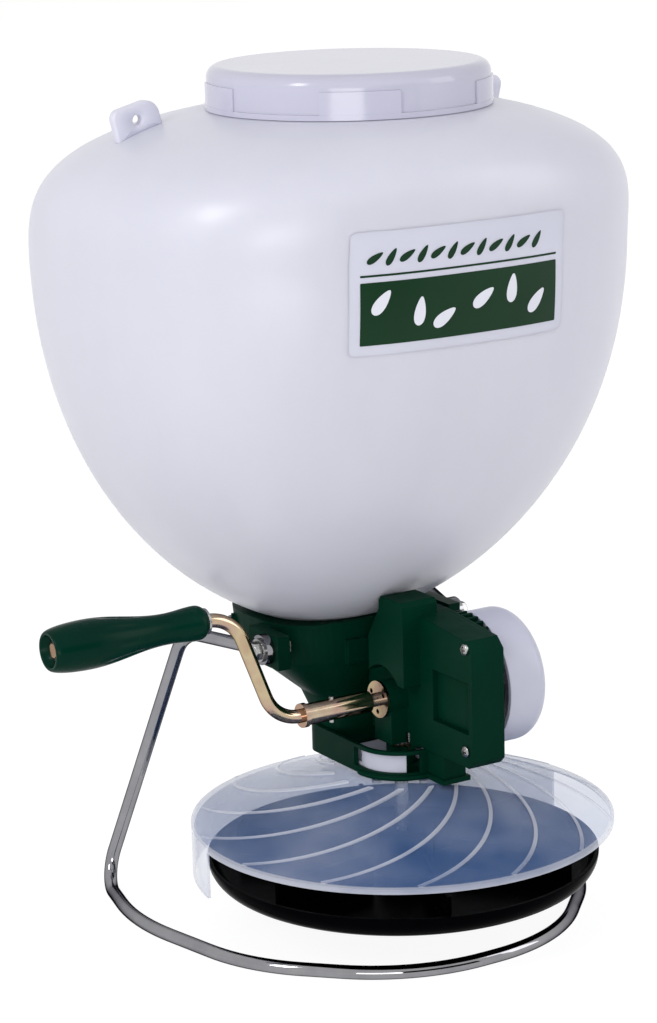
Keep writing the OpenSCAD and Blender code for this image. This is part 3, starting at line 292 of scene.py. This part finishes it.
def noise(tree, scale, detail=4.0, roughness=0.55, stretch=None):
    """Noise in the object's own coordinates, scale in features per metre."""
    place = tree.nodes.new("ShaderNodeTexCoord")
    texture = tree.nodes.new("ShaderNodeTexNoise")
    texture.inputs["Scale"].default_value = scale
    texture.inputs["Detail"].default_value = detail
    texture.inputs["Roughness"].default_value = roughness
    source = place.outputs["Object"]
    if stretch:
        mapping = tree.nodes.new("ShaderNodeMapping")
        mapping.inputs["Scale"].default_value = stretch
        tree.links.new(source, mapping.inputs["Vector"])
        source = mapping.outputs["Vector"]
    tree.links.new(source, texture.inputs["Vector"])
    return texture.outputs["Fac"]


def ramp(tree, source, stops):
    """Colour ramp over a value; stops are (place, colour)."""
    node = tree.nodes.new("ShaderNodeValToRGB")
    points = node.color_ramp.elements
    while len(points) < len(stops):
        points.new(0.5)
    for point, (place, colour) in zip(points, stops):
        point.position = place
        point.color = (*colour, 1.0)
    tree.links.new(source, node.inputs["Fac"])
    return node.outputs["Color"]


def map_range(tree, source, from_span, to_span):
    """Maps a value from one span to another and holds it there."""
    node = tree.nodes.new("ShaderNodeMapRange")
    for end, value in zip(("From Min", "From Max", "To Min", "To Max"), (*from_span, *to_span)):
        node.inputs[end].default_value = value
    tree.links.new(source, node.inputs["Value"])
    return node.outputs["Result"]


def spread(tree, source, low, high):
    """Maps a noise value to the span from low to high."""
    return map_range(tree, source, (NOISE_LOW, NOISE_HIGH), (low, high))


def maths(tree, operation, *values):
    """Maths node over values, each a socket or a number."""
    node = tree.nodes.new("ShaderNodeMath")
    node.operation = operation
    for socket, value in zip(node.inputs, values):
        if isinstance(value, bpy.types.NodeSocket):
            tree.links.new(value, socket)
        else:
            socket.default_value = value
    return node.outputs[0]


def bump(tree, shader, source, strength, distance, edge_radius=0.0):
    """Bump from a value, over edges that look rounded by edge_radius."""
    node = tree.nodes.new("ShaderNodeBump")
    node.inputs["Strength"].default_value = strength
    node.inputs["Distance"].default_value = distance
    tree.links.new(source, node.inputs["Height"])
    if edge_radius:
        edge = tree.nodes.new("ShaderNodeBevel")
        edge.samples = 4
        edge.inputs["Radius"].default_value = edge_radius
        tree.links.new(edge.outputs["Normal"], node.inputs["Normal"])
    tree.links.new(node.outputs["Normal"], shader.inputs["Normal"])


def shade(colour, factor):
    """Colour made lighter or darker by a factor."""
    return tuple(min(1.0, c * factor) for c in colour)


def moulded(name, colour, rough, grain=900.0, grain_depth=0.00008, edge=0.0008, specular=0.3, mottle=0.12):
    """Injection-moulded plastic: faint mottling, fine grain and softened edges."""
    material, tree, shader = new_material(name)
    stops = [(NOISE_LOW, shade(colour, 1 - mottle)), (NOISE_HIGH, shade(colour, 1 + mottle))]
    tree.links.new(ramp(tree, noise(tree, scale=24.0, detail=5.0), stops), shader.inputs["Base Color"])
    tree.links.new(spread(tree, noise(tree, scale=70.0, detail=6.0), *rough), shader.inputs["Roughness"])
    shader.inputs["Specular IOR Level"].default_value = specular
    bump(tree, shader, noise(tree, grain, detail=2.0), strength=0.35, distance=grain_depth, edge_radius=edge)
    return material


def milky(name, colour, subsurface, rough=(0.3, 0.4), streak=(1.0, 1.0, 0.25), depth=0.0002, specular=0.5):
    """Translucent blow-moulded plastic: light goes in, faint flow streaks and soft gloss."""
    material, tree, shader = new_material(name)
    stops = [(NOISE_LOW, shade(colour, 0.965)), (NOISE_HIGH, shade(colour, 1.02))]
    flow = noise(tree, scale=14.0, roughness=0.5, stretch=streak)
    tree.links.new(ramp(tree, flow, stops), shader.inputs["Base Color"])
    tree.links.new(spread(tree, noise(tree, scale=16.0, detail=2.0), *rough), shader.inputs["Roughness"])
    shader.inputs["Subsurface Weight"].default_value = subsurface
    shader.inputs["Subsurface Radius"].default_value = (1.0, 1.0, 1.1)
    shader.inputs["Subsurface Scale"].default_value = 0.012
    shader.inputs["Specular IOR Level"].default_value = specular
    waves = noise(tree, scale=11.0, detail=1.0, roughness=0.4, stretch=streak)
    bump(tree, shader, waves, strength=0.25, distance=depth)
    return material


def metal(name, colours, rough, scale=60.0, edge=0.0, rim=None):
    """Plated metal: colour that wanders, uneven gloss, fine scratches and a dark rim tint where it turns
    away, which paints dark reflections along its edges.
    """
    material, tree, shader = new_material(name)
    stops = list(zip(np.linspace(NOISE_LOW, NOISE_HIGH, len(colours)), colours))
    tree.links.new(ramp(tree, noise(tree, scale, detail=3.0), stops), shader.inputs["Base Color"])
    shader.inputs["Metallic"].default_value = 1.0
    # A dark rim tint is a painted dark reflection along the edges.
    if rim:
        shader.inputs["Specular Tint"].default_value = (*rim, 1.0)
    smears = noise(tree, scale=160.0, detail=6.0, roughness=0.6)
    tree.links.new(spread(tree, smears, *rough), shader.inputs["Roughness"])
    scratches = noise(tree, scale=600.0, roughness=0.6)
    bump(tree, shader, scratches, strength=0.2, distance=0.00002, edge_radius=edge)
    return material


def guard_plastic(name, thin, thick):
    """Thin tinted plastic, bluish over the dark disc; its raised ribs and its rim are paler, and random pale
    clouds paint in reflection and the shade of the disc's vanes.
    """
    rib_rise, rib_pale = (0.15 * MM, 0.8 * MM), (0.0, 0.9)
    rim_reach, rim_pale = ((GUARD_R - 2.4) * MM, (GUARD_R - 1.4) * MM), (0.0, 0.8)
    # The first of these spans sets how far the clouds of painted reflection and painted shade raise the
    # paleness.
    painted_cloud_span, opacity, rough = (-0.1, 0.42), (0.23, 0.46), (0.14, 0.22)
    material, tree, shader = new_material(name)
    place = tree.nodes.new("ShaderNodeTexCoord").outputs["Object"]
    flat = tree.nodes.new("ShaderNodeVectorMath")
    flat.operation = "MULTIPLY"
    flat.inputs[1].default_value = (1.0, 1.0, 0.0)
    tree.links.new(place, flat.inputs[0])
    length = tree.nodes.new("ShaderNodeVectorMath")
    length.operation = "LENGTH"
    tree.links.new(flat.outputs["Vector"], length.inputs[0])
    radius = length.outputs["Value"]
    split = tree.nodes.new("ShaderNodeSeparateXYZ")
    tree.links.new(place, split.inputs[0])
    slope = (GUARD_HUB_Z - GUARD_RIM_Z) / (GUARD_R - GUARD_HUB_R)
    cone = maths(tree, "MULTIPLY_ADD", radius, slope, -(GUARD_RIM_Z + slope * GUARD_R) * MM)
    rise = maths(tree, "ADD", cone, split.outputs["Z"])
    rib = map_range(tree, rise, rib_rise, rib_pale)
    rim = map_range(tree, radius, rim_reach, rim_pale)
    # Random pale clouds: painted reflection and painted shade of the vanes below, in colour and opacity.
    painted_cloud_noise = noise(tree, scale=13.0, roughness=0.5, stretch=(1.0, 1.0, 3.0))
    painted_cloud = spread(tree, painted_cloud_noise, *painted_cloud_span)
    pale = maths(tree, "ADD", maths(tree, "MAXIMUM", rib, rim), painted_cloud)
    tree.links.new(ramp(tree, pale, [(0.0, thin), (1.0, thick)]), shader.inputs["Base Color"])
    tree.links.new(map_range(tree, pale, (0.0, 1.0), opacity), shader.inputs["Alpha"])
    tree.links.new(spread(tree, noise(tree, scale=60.0, detail=5.0), *rough), shader.inputs["Roughness"])
    shader.inputs["Specular IOR Level"].default_value = 0.35
    bump(tree, shader, noise(tree, scale=45.0, detail=3.0), strength=0.2, distance=0.00005)
    return material


# Materials

EVEN = (1, 1, 1)    # no streaks

hopper_mat = milky("hopper_milky", (0.71, 0.715, 0.845), subsurface=0.6, rough=(0.28, 0.36), depth=0.0004)
eye_mat = milky("eye_milky", (0.70, 0.70, 0.785), subsurface=0.12)
lid_mat = milky("lid_milky", (0.54, 0.535, 0.635), subsurface=0.0, rough=(0.12, 0.16), streak=EVEN,
                depth=0.00005, specular=0.35)
guard_mat = guard_plastic("guard_milky", thin=(0.13, 0.26, 0.58), thick=(0.80, 0.82, 0.90))
green_mat = moulded("green_moulded", (0.0004, 0.023, 0.012), rough=(0.36, 0.5), specular=0.03)
grip_mat = moulded("grip_moulded", (0.0004, 0.023, 0.0135), rough=(0.2, 0.28), grain=1100.0, specular=0.05)
label_mat = milky("label_film", (0.63, 0.635, 0.73), subsurface=0.3, rough=(0.3, 0.38), streak=EVEN,
                  depth=0.0001)
label_white = moulded("label_white_ink", (0.72, 0.73, 0.79), rough=(0.3, 0.4), grain=500.0,
                      grain_depth=0.00002, edge=0.0, mottle=0.03)
label_green = moulded("label_ink", (0.0015, 0.028, 0.008), rough=(0.3, 0.4), grain=500.0,
                      grain_depth=0.00002, edge=0.0, specular=0.2, mottle=0.1)
black_mat = moulded("black_moulded", (0.0008, 0.0008, 0.0013), rough=(0.2, 0.28), grain=700.0,
                    grain_depth=0.00002, specular=0.006)
white_mat = moulded("white_moulded", (0.53, 0.54, 0.63), rough=(0.28, 0.4), grain_depth=0.00004, mottle=0.03)
gear_mat = moulded("gear_moulded", (0.62, 0.58, 0.48), rough=(0.4, 0.5), grain_depth=0.00004, edge=0.0003,
                   mottle=0.05)
rubber_mat = moulded("seal_rubber", (0.03, 0.03, 0.033), rough=(0.55, 0.7), grain=1200.0)
# The dark rim tints below paint dark reflections along the metals' edges.
chrome_mat = metal("stand_chrome", [(0.25, 0.25, 0.265), (0.31, 0.31, 0.325)], rough=(0.05, 0.08),
                   rim=(0.02, 0.02, 0.025))
steel_mat = metal("zinc_steel", [(0.34, 0.34, 0.34), (0.46, 0.46, 0.45)], rough=(0.2, 0.34), edge=0.0003,
                  rim=(0.1, 0.1, 0.1))
zinc_mat = metal("yellow_zinc",
                 [(0.42, 0.29, 0.19), (0.54, 0.44, 0.28), (0.47, 0.32, 0.25), (0.52, 0.45, 0.31)],
                 rough=(0.08, 0.16), scale=26.0, rim=(0.02, 0.012, 0.01))
bronze_mat = metal("sintered_bronze", [(0.40, 0.26, 0.12), (0.50, 0.34, 0.17)], rough=(0.4, 0.55))

NODE_MATERIALS = {
    "hopper": hopper_mat, "lid": lid_mat, "lid_seal": rubber_mat, "guard": guard_mat,
    "funnel_housing": green_mat, "outlet_casing": green_mat,
    "gearbox_housing": green_mat, "gearbox_cover": green_mat,
    "hopper_screws": steel_mat, "gearbox_screws": steel_mat, "guard_screws": steel_mat,
    "crank_bushes": bronze_mat, "shaft_bushes": bronze_mat,
    "stand_frame": chrome_mat, "stand_bolts": steel_mat, "stand_washers": steel_mat, "stand_nuts": steel_mat,
    "crank_shaft": steel_mat, "crank_sleeve": zinc_mat, "sleeve_pin": steel_mat, "crank_rod": zinc_mat,
    "crank_washer": zinc_mat, "crown_gear": gear_mat, "grip_washers": steel_mat, "crank_grip": grip_mat,
    "spreader_shaft": steel_mat, "pinion": steel_mat, "spreader_disc": black_mat, "disc_nut": steel_mat,
    "metering_knob": white_mat, "knob_gear": white_mat, "knob_screw": steel_mat, "gate_slide": white_mat,
}
for name, material in NODE_MATERIALS.items():
    slots = nodes[name].data.materials
    slots.clear()
    slots.append(material)


# Hopper: one closed skin, outside up and inside down

def hopper_rings():
    """Rings of the belly and shoulder, the threaded neck and its rim, then the inside and the spout."""
    thread_pitch, thread_h, thread_step = 6.0, 0.8, 0.75
    thread_root_r, thread_low, thread_high = NECK_R - 0.9, 0.4, 1.0
    rim_h, rim_in = 0.6, 0.5
    outer = [superellipse(*s) for s in hopper_sections(0.0)]
    inner = [superellipse(*s) for s in hopper_sections(WALL)]

    def circle(r, z, y=NECK_Y):
        """Round ring about the neck's axis, or about another."""
        return superellipse(r, r, 2, y, z)

    neck_base_z = outer[-1][0][2]
    neck_top_z = neck_base_z + NECK_H
    t = np.linspace(0, 1, RING_POINTS, endpoint=False)
    angle = 2 * math.pi * t
    neck = []
    for z in np.arange(neck_base_z + thread_low, neck_top_z - thread_high, thread_step):
        turn = (z - neck_base_z) / thread_pitch
        wave = 0.5 + 0.5 * np.cos(2 * math.pi * (turn - t))
        r = thread_root_r + thread_h * wave ** 3
        neck.append(np.stack([r * np.cos(angle), NECK_Y + r * np.sin(angle), np.full_like(t, z)], 1))
    rim = [circle(thread_root_r, neck_top_z - rim_h), circle(thread_root_r - rim_in, neck_top_z),
           circle(NECK_R - WALL + rim_in, neck_top_z), circle(NECK_R - WALL, neck_top_z - rim_h),
           circle(NECK_R - WALL, neck_base_z - WALL)]
    low_z = HOPPER_BOTTOM_Z - SPOUT_L
    spout_in = [circle(SPOUT_R - WALL, HOPPER_BOTTOM_Z + WALL, OUTLET_Y),
                circle(SPOUT_R - WALL, low_z, OUTLET_Y)]
    spout_out = [circle(SPOUT_R, low_z, OUTLET_Y), circle(SPOUT_R, HOPPER_BOTTOM_Z, OUTLET_Y)]
    return outer + neck + rim + inner[::-1] + spout_in + spout_out


hopper_mesh = ring_surface("hopper_skin", hopper_rings(), closed=True)
hopper = add_object("hopper_skin", hopper_mesh, "frame", hopper_mat)
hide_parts("hopper")


# Strap eyes: leaning tabs with softened edges, ending inside the hopper's wall

EYE_X, EYE_Y, EYE_Z = 117.0, 80.0, 478.0
EYE_T = 6.0
EYE_HOLE_R = 3.0


def tab_outline(count=120):
    """Distance of the tab's edge from its hole, by angle."""
    half_w, top, low, small_r, large_r = 14.8, 9.0, -22.0, 5.5, 9.0
    lean = math.radians(14)
    corner_steps, edge_steps = 14, 30
    turn = np.linspace(0, math.pi / 2, corner_steps)
    edge = [(-half_w, low), (half_w, low)]
    edge += [(half_w - large_r + large_r * math.cos(t), top - large_r + large_r * math.sin(t)) for t in turn]
    edge += [(small_r - half_w - small_r * math.sin(t), top - small_r + small_r * math.cos(t)) for t in turn]
    edge = np.array(edge + edge[:1])
    fine = np.concatenate([a + (b - a) * np.linspace(0, 1, edge_steps, endpoint=False)[:, None]
                           for a, b in zip(edge, edge[1:])])
    angle = np.arctan2(fine[:, 1], fine[:, 0]) + lean
    places = np.linspace(0, 2 * math.pi, count, endpoint=False)
    return places, np.interp(places, angle, np.hypot(fine[:, 0], fine[:, 1]), period=2 * math.pi)


def strap_eye(side):
    """Rings of one eye: round its edge, over its faces and through its hole."""
    angle, reach = tab_outline()
    soft, hole_soft, rounding = 1.1, 0.5, 0.3

    def place(t, r):
        """Where the point at angle t and distance r from the hole lies, in x and z."""
        return -side * (-EYE_X + r * math.cos(t)), EYE_Z + r * math.sin(t)

    def foot(t, y, far):
        """Distance from the hole to the middle of the hopper's wall, or far where the edge comes first."""
        low, high = EYE_HOLE_R, far
        for _ in range(HALVINGS):
            r = (low + high) / 2
            x, z = place(t, r)
            low, high = (r, high) if z > hopper_top(x, y) - WALL / 2 else (low, r)
        return low

    ends = [foot(t, EYE_Y, r) for t, r in zip(angle, reach)]

    def ring(radius, y):
        """Ring at the depth y; below, where the hopper comes first, it ends in the hopper's wall."""
        nearly, near_hole = 0.01, EYE_HOLE_R + 1
        points = []
        for t, r, far, end in zip(angle, radius, reach, ends):
            x, z = place(t, end if end < far - nearly and r > near_hole else r)
            points.append((x, EYE_Y + y, z))
        return points

    hole = np.full_like(reach, EYE_HOLE_R)
    half = EYE_T / 2
    turned = rounding * soft
    front = [ring(reach, soft - half), ring(reach - turned, turned - half), ring(reach - soft, -half),
             ring(hole + hole_soft, -half), ring(hole, hole_soft - half)]
    back = [ring(hole, half - hole_soft), ring(hole + hole_soft, half), ring(reach - soft, half),
            ring(reach - turned, half - turned), ring(reach, half - soft)]
    return front + back


for eye_name, eye_side in (("strap_eye_left", -1), ("strap_eye_right", 1)):
    eye = add_object(eye_name, ring_surface(eye_name, strap_eye(eye_side), closed=True), "frame", eye_mat)
    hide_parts("hopper")


# Label: a pale sheet with a dark green band of seeds and a row of small seeds above it

FILM_LIFT, INK_LIFT, TOP_INK_LIFT = 0.18, 0.28, 0.38
FILM_X, FILM_Z, FILM_CORNER = (-76, 62), (360, 428), 4.0
INK_X = (-70, 56.5)
BAND_Z, BAND_CORNER = (365.8, 400.2), 0.6
LINE_Z, LINE_CORNER = (403.2, 404.4), 0.2
BAND_SEEDS, ROW_SEEDS = 6, 12


def label_sheet(name, x_span, z_span, lift, corner, material, columns=60, rows=26):
    """Sheet with rounded corners that follows the hopper's front."""
    x0, x1 = x_span
    z0, z1 = z_span
    points = []
    for j in range(rows + 1):
        z = z0 + (z1 - z0) * ease(0, 1, j / rows)
        near = min(z - z0, z1 - z)
        cut = 0.0
        if near < corner:
            cut = corner - math.sqrt(max(0.0, corner ** 2 - (corner - near) ** 2))
        for i in range(columns + 1):
            points.append(on_label(x0 + cut + (x1 - x0 - 2 * cut) * i / columns, z, lift))
    width = columns + 1
    faces = [(j * width + i, j * width + i + 1, (j + 1) * width + i + 1, (j + 1) * width + i)
             for j in range(rows) for i in range(columns)]
    label_piece(name, points, faces, material)


def label_seeds(name, seeds, lift, material):
    """Seed shapes on the label; each seed is its centre x and z, half length, half width and tilt."""
    count, taper = 28, 0.35
    points, faces = [], []
    for x, z, length, width, tilt in seeds:
        first = len(points)
        points.append(on_label(x, z, lift))
        for i in range(count):
            t = 2 * math.pi * i / count
            u, v = length * math.cos(t), width * math.sin(t) * (1 - taper * math.cos(t))
            points.append(on_label(x + u * math.cos(tilt) - v * math.sin(tilt),
                                   z + u * math.sin(tilt) + v * math.cos(tilt), lift))
        faces += [(first, first + 1 + i, first + 1 + (i + 1) % count) for i in range(count)]
    label_piece(name, points, faces, material)


def label_piece(name, points, faces, material):
    """One layer of the label, which lies on the hopper."""
    piece = add_object(name, mesh_from(name, points, faces), "frame", material)


def band_seed(i):
    """Large seed of the band, strewn along it and tilted unevenly."""
    x = -58 + 20.5 * i + 3 * math.sin(2.3 * i)
    z = 383 + 6.0 * math.cos(1.7 * i)
    half_l, half_w, tilt = 8.0, 3.3, 0.9 + 0.55 * math.sin(1.9 * i)
    return x, z, half_l, half_w, tilt


def row_seed(i):
    """Small seed of the row above the band, tilted by turns."""
    x, z = -62 + 9.4 * i, 413.5
    half_l, half_w, tilt = 5.2, 1.9, 1.05 if i % 2 else 0.55
    return x, z, half_l, half_w, tilt


label_sheet("label_sheet", FILM_X, FILM_Z, FILM_LIFT, FILM_CORNER, label_mat)
label_sheet("label_band", INK_X, BAND_Z, INK_LIFT, BAND_CORNER, label_green)
label_sheet("label_line", INK_X, LINE_Z, INK_LIFT, LINE_CORNER, label_green, rows=4)
label_seeds("label_band_seeds", [band_seed(i) for i in range(BAND_SEEDS)], TOP_INK_LIFT, label_white)
label_seeds("label_row_seeds", [row_seed(i) for i in range(ROW_SEEDS)], INK_LIFT, label_green)


# Grip: one smooth turned skin with finger flutes

GRIP_IN_X, GRIP_Z, GRIP_L = -130.0, 205.5, 97.0
GRIP_NOSE_L, GRIP_NOSE_R = 5.0, 10.0
GRIP_WAIST_R, GRIP_BELLY_R = 8.8, 14.0


def grip_radius(s):
    """Radius at the distance s from the grip's inner end: nose, waist, belly and rounded end."""
    nose_l, nose_r, nose_drop = GRIP_NOSE_L, GRIP_NOSE_R, 3.4
    waist, belly, end_drop = 0.25 * GRIP_L, 0.76 * GRIP_L, 3.6
    if s < nose_l:
        return nose_r - nose_drop * (1 - math.sqrt(max(0.0, 1 - (1 - s / nose_l) ** 2)))
    if s < waist:
        return ease(nose_r, GRIP_WAIST_R, (s - nose_l) / (waist - nose_l))
    if s < belly:
        return ease(GRIP_WAIST_R, GRIP_BELLY_R, (s - waist) / (belly - waist))
    return GRIP_BELLY_R - end_drop * (1 - math.sqrt(max(0.0, 1 - ((s - belly) / (GRIP_L - belly)) ** 2)))


def grip_rings(count=128):
    """Rings of the bore, then of the fluted outside, then of the recess in the outer end."""
    flutes, flute_power, flute_depth, flute_mid, flute_half = 8, 1.5, 0.75, 53.5, 15.0
    bore_r, recess_r, recess_l, edge = 4.3, 9.0, 6.5, 0.5
    end_from, end_l = 73.7, 23.3
    quarter = math.pi / 2
    t = np.linspace(0, 2 * math.pi, count, endpoint=False)
    flute = np.maximum(0.0, np.cos(flutes * t)) ** flute_power

    def ring(r, s):
        """Ring at the distance s from the inner end."""
        return np.stack([np.full_like(t, GRIP_IN_X - s), r * np.cos(t), GRIP_Z + r * np.sin(t)], 1)

    def fluted(s):
        """Ring of the outside, with flutes that fade out along the belly."""
        depth = flute_depth * max(0.0, 1 - ((s - flute_mid) / flute_half) ** 2)
        return ring(grip_radius(s) - depth * flute, s)

    nose = GRIP_NOSE_L * (1 - np.cos(np.linspace(0, quarter, 10)))
    middle = np.linspace(6, 72, 67)
    end = end_from + end_l * np.sin(np.linspace(0.02, quarter, 20))
    bore = [ring(bore_r, GRIP_L - recess_l), ring(bore_r, 0.0)]
    outside = [fluted(s) for s in np.concatenate([nose, middle, end])]
    recess = [ring(recess_r + edge, GRIP_L), ring(recess_r, GRIP_L - edge), ring(recess_r, GRIP_L - recess_l)]
    return bore + outside + recess


grip = add_object("grip_skin", ring_surface("grip_skin", grip_rings(), closed=True), "grip", grip_mat)
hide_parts("crank_grip")


# Screws and bolts in place of the plain solids

COLLAR_HALF_W, COLLAR_HALF_D, COLLAR_POWER = 54.0, 46.0, 3
SCREW_HEAD_R, SCREW_HEAD_T = 3.3, 2.4
COLLAR_SCREW_ANGLES = (25, 90, 155)
CASE_SCREW_PLACES = ((-69, 182.5), (-69, 122), (25.5, 166))
BOLT_X, BOLT_Y, BOLT_Z = 70.8, 42, 168


def collar_screw(degrees):
    """Screw through the collar into the spout, square to the outlet's axis."""
    shank_r, bite, drop, stand_off = 1.65, 2, 9, 1.2
    angle = math.radians(degrees)
    c, s = math.cos(angle), math.sin(angle)
    share = abs(c / COLLAR_HALF_W) ** COLLAR_POWER + abs(s / COLLAR_HALF_D) ** COLLAR_POWER
    seat = stand_off + share ** (-1 / COLLAR_POWER)
    rings = cross_screw(SCREW_HEAD_R, SCREW_HEAD_T, shank_r, seat - SPOUT_R + bite)
    return [placed(r, (seat * c, OUTLET_Y + seat * s, HOPPER_BOTTOM_Z - drop), (-c, -s, 0)) for r in rings]


def case_screw(y, z):
    """Screw of the gear case, from its left face to the right."""
    shank_r, length = 2.0, 21.5
    rings = cross_screw(SCREW_HEAD_R, SCREW_HEAD_T, shank_r, length)
    return [placed(r, (0, y, z), (1, 0, 0)) for r in rings]


def stand_bolt(side):
    """Bolt of the stand, on the left where side is -1 and on the right where it is 1."""
    corner_r, head_t, shank_r, length = 5.77, 4.0, 3.0, 21.3
    rings = hex_bolt(corner_r, head_t, shank_r, length)
    return [placed(r, (side * BOLT_X, BOLT_Y, BOLT_Z), (-side, 0, 0)) for r in rings]


set_of("collar_screws", "frame", "hopper_screws", steel_mat, [collar_screw(a) for a in COLLAR_SCREW_ANGLES])
set_of("case_screws", "frame", "gearbox_screws", steel_mat, [case_screw(y, z) for y, z in CASE_SCREW_PLACES])
set_of("hex_bolts", "frame", "stand_bolts", steel_mat, [stand_bolt(side) for side in (-1, 1)])


# Camera at the photograph's view

IMAGE_H = 1023
FOCAL_PX = 3053.9
CAMERA_PLACE = (-0.9317, -1.4346, 0.6765)
ROLL = math.radians(1.5)

camera_data = bpy.data.cameras.new("camera")
camera_data.sensor_fit = "AUTO"
camera_data.sensor_width = 36.0
camera_data.lens = camera_data.sensor_width * FOCAL_PX / IMAGE_H
camera_data.clip_end = 30.0
camera = bpy.data.objects.new("camera", camera_data)
bpy.context.scene.collection.objects.link(camera)

# The camera's axes before its roll
forward = Vector((0.50986, 0.82554, -0.24192))
level_right = Vector((0.85081, -0.52547, 0.0))
level_up = Vector((0.12712, 0.20583, 0.97030))
right = level_right * math.cos(ROLL) - level_up * math.sin(ROLL)
up = level_right * math.sin(ROLL) + level_up * math.cos(ROLL)
camera.matrix_world = Matrix((
    (right.x, up.x, -forward.x, CAMERA_PLACE[0]),
    (right.y, up.y, -forward.y, CAMERA_PLACE[1]),
    (right.z, up.z, -forward.z, CAMERA_PLACE[2]),
    (0, 0, 0, 1),
))
bpy.context.scene.camera = camera


# Studio: a white world and floor, three soft boxes and a dark card

def background_light(tree, lit, seen):
    """Shader that shows seen to camera, mirror and glass rays, and lit to all others."""
    path = tree.nodes.new("ShaderNodeLightPath").outputs
    direct = maths(tree, "MAXIMUM", path["Is Camera Ray"], path["Is Glossy Ray"])
    every = maths(tree, "MAXIMUM", direct, path["Is Transmission Ray"])
    mix = tree.nodes.new("ShaderNodeMixShader")
    tree.links.new(every, mix.inputs[0])
    tree.links.new(lit, mix.inputs[1])
    tree.links.new(seen, mix.inputs[2])
    return mix.outputs[0]


def flat_sheet(name, half_w, half_h, material):
    """Level rectangle of the stage, by its half sizes in millimetres."""
    corners = [(-half_w, -half_h, 0), (half_w, -half_h, 0), (half_w, half_h, 0), (-half_w, half_h, 0)]
    sheet = bpy.data.objects.new(name, mesh_from(name, corners, [(0, 1, 2, 3)]))
    sheet.data.materials.append(material)
    bpy.context.scene.collection.objects.link(sheet)
    return sheet


def aim(thing, place, target):
    """Puts a lamp or a card at its place and turns it to its target."""
    thing.location = place
    thing.rotation_euler = (Vector(target) - Vector(place)).to_track_quat("-Z", "Y").to_euler()


def softbox(name, place, target, width, height, power):
    """Rectangular lamp, in metres and watts."""
    light = bpy.data.lights.new(name, "AREA")
    light.shape = "RECTANGLE"
    light.size, light.size_y = width, height
    light.energy = power
    lamp = bpy.data.objects.new(name, light)
    bpy.context.scene.collection.objects.link(lamp)
    aim(lamp, place, target)


world = bpy.data.worlds.new("studio")
bpy.context.scene.world = world
world.use_nodes = True
tree = world.node_tree
ambient = tree.nodes["Background"]
ambient.inputs["Color"].default_value = (0.95, 0.95, 1.0, 1.0)
ambient.inputs["Strength"].default_value = 0.7
white = tree.nodes.new("ShaderNodeBackground")
white.inputs["Color"].default_value = (1.0, 1.0, 1.0, 1.0)
white.inputs["Strength"].default_value = 1.0
tree.links.new(background_light(tree, ambient.outputs[0], white.outputs[0]),
               tree.nodes["World Output"].inputs["Surface"])

floor_mat, tree, shader = new_material("floor_white")
shader.inputs["Base Color"].default_value = (0.9, 0.9, 0.9, 1.0)
shader.inputs["Roughness"].default_value = 0.9
glow = tree.nodes.new("ShaderNodeEmission")
glow.inputs["Color"].default_value = (1.0, 1.0, 1.0, 1.0)
glow.inputs["Strength"].default_value = 0.92
dull = tree.nodes.new("ShaderNodeBsdfDiffuse")
dull.inputs["Color"].default_value = (0.16, 0.16, 0.16, 1.0)
both = tree.nodes.new("ShaderNodeAddShader")
tree.links.new(glow.outputs[0], both.inputs[0])
tree.links.new(dull.outputs[0], both.inputs[1])
tree.links.new(background_light(tree, shader.outputs[0], both.outputs[0]),
               tree.nodes["Material Output"].inputs["Surface"])
floor_half = 6000.0
floor = flat_sheet("floor", floor_half, floor_half, floor_mat)

# The dark card gives the bright metal something to mirror; the camera looks through it
card_mat, tree, shader = new_material("card_black")
shader.inputs["Base Color"].default_value = (0.01, 0.01, 0.012, 1.0)
shader.inputs["Roughness"].default_value = 0.9

softbox("key", (-1.75, -0.45, 1.4), (0, 0.05, 0.3), width=0.4, height=0.75, power=12.5)
softbox("fill", (1.4, -1.2, 0.9), (0, 0.05, 0.25), width=0.8, height=1.2, power=7.0)
card = flat_sheet("card_right", half_w=1050.0, half_h=650.0, material=card_mat)
aim(card, (0.08, -2.4, 0.45), (0, 0, 0.3))
card.visible_camera = False
softbox("low_front", (-1.1, -1.6, 0.25), (0, 0.05, 0.3), width=0.9, height=0.5, power=8.5)

bpy.context.scene.view_settings.view_transform = "Standard"
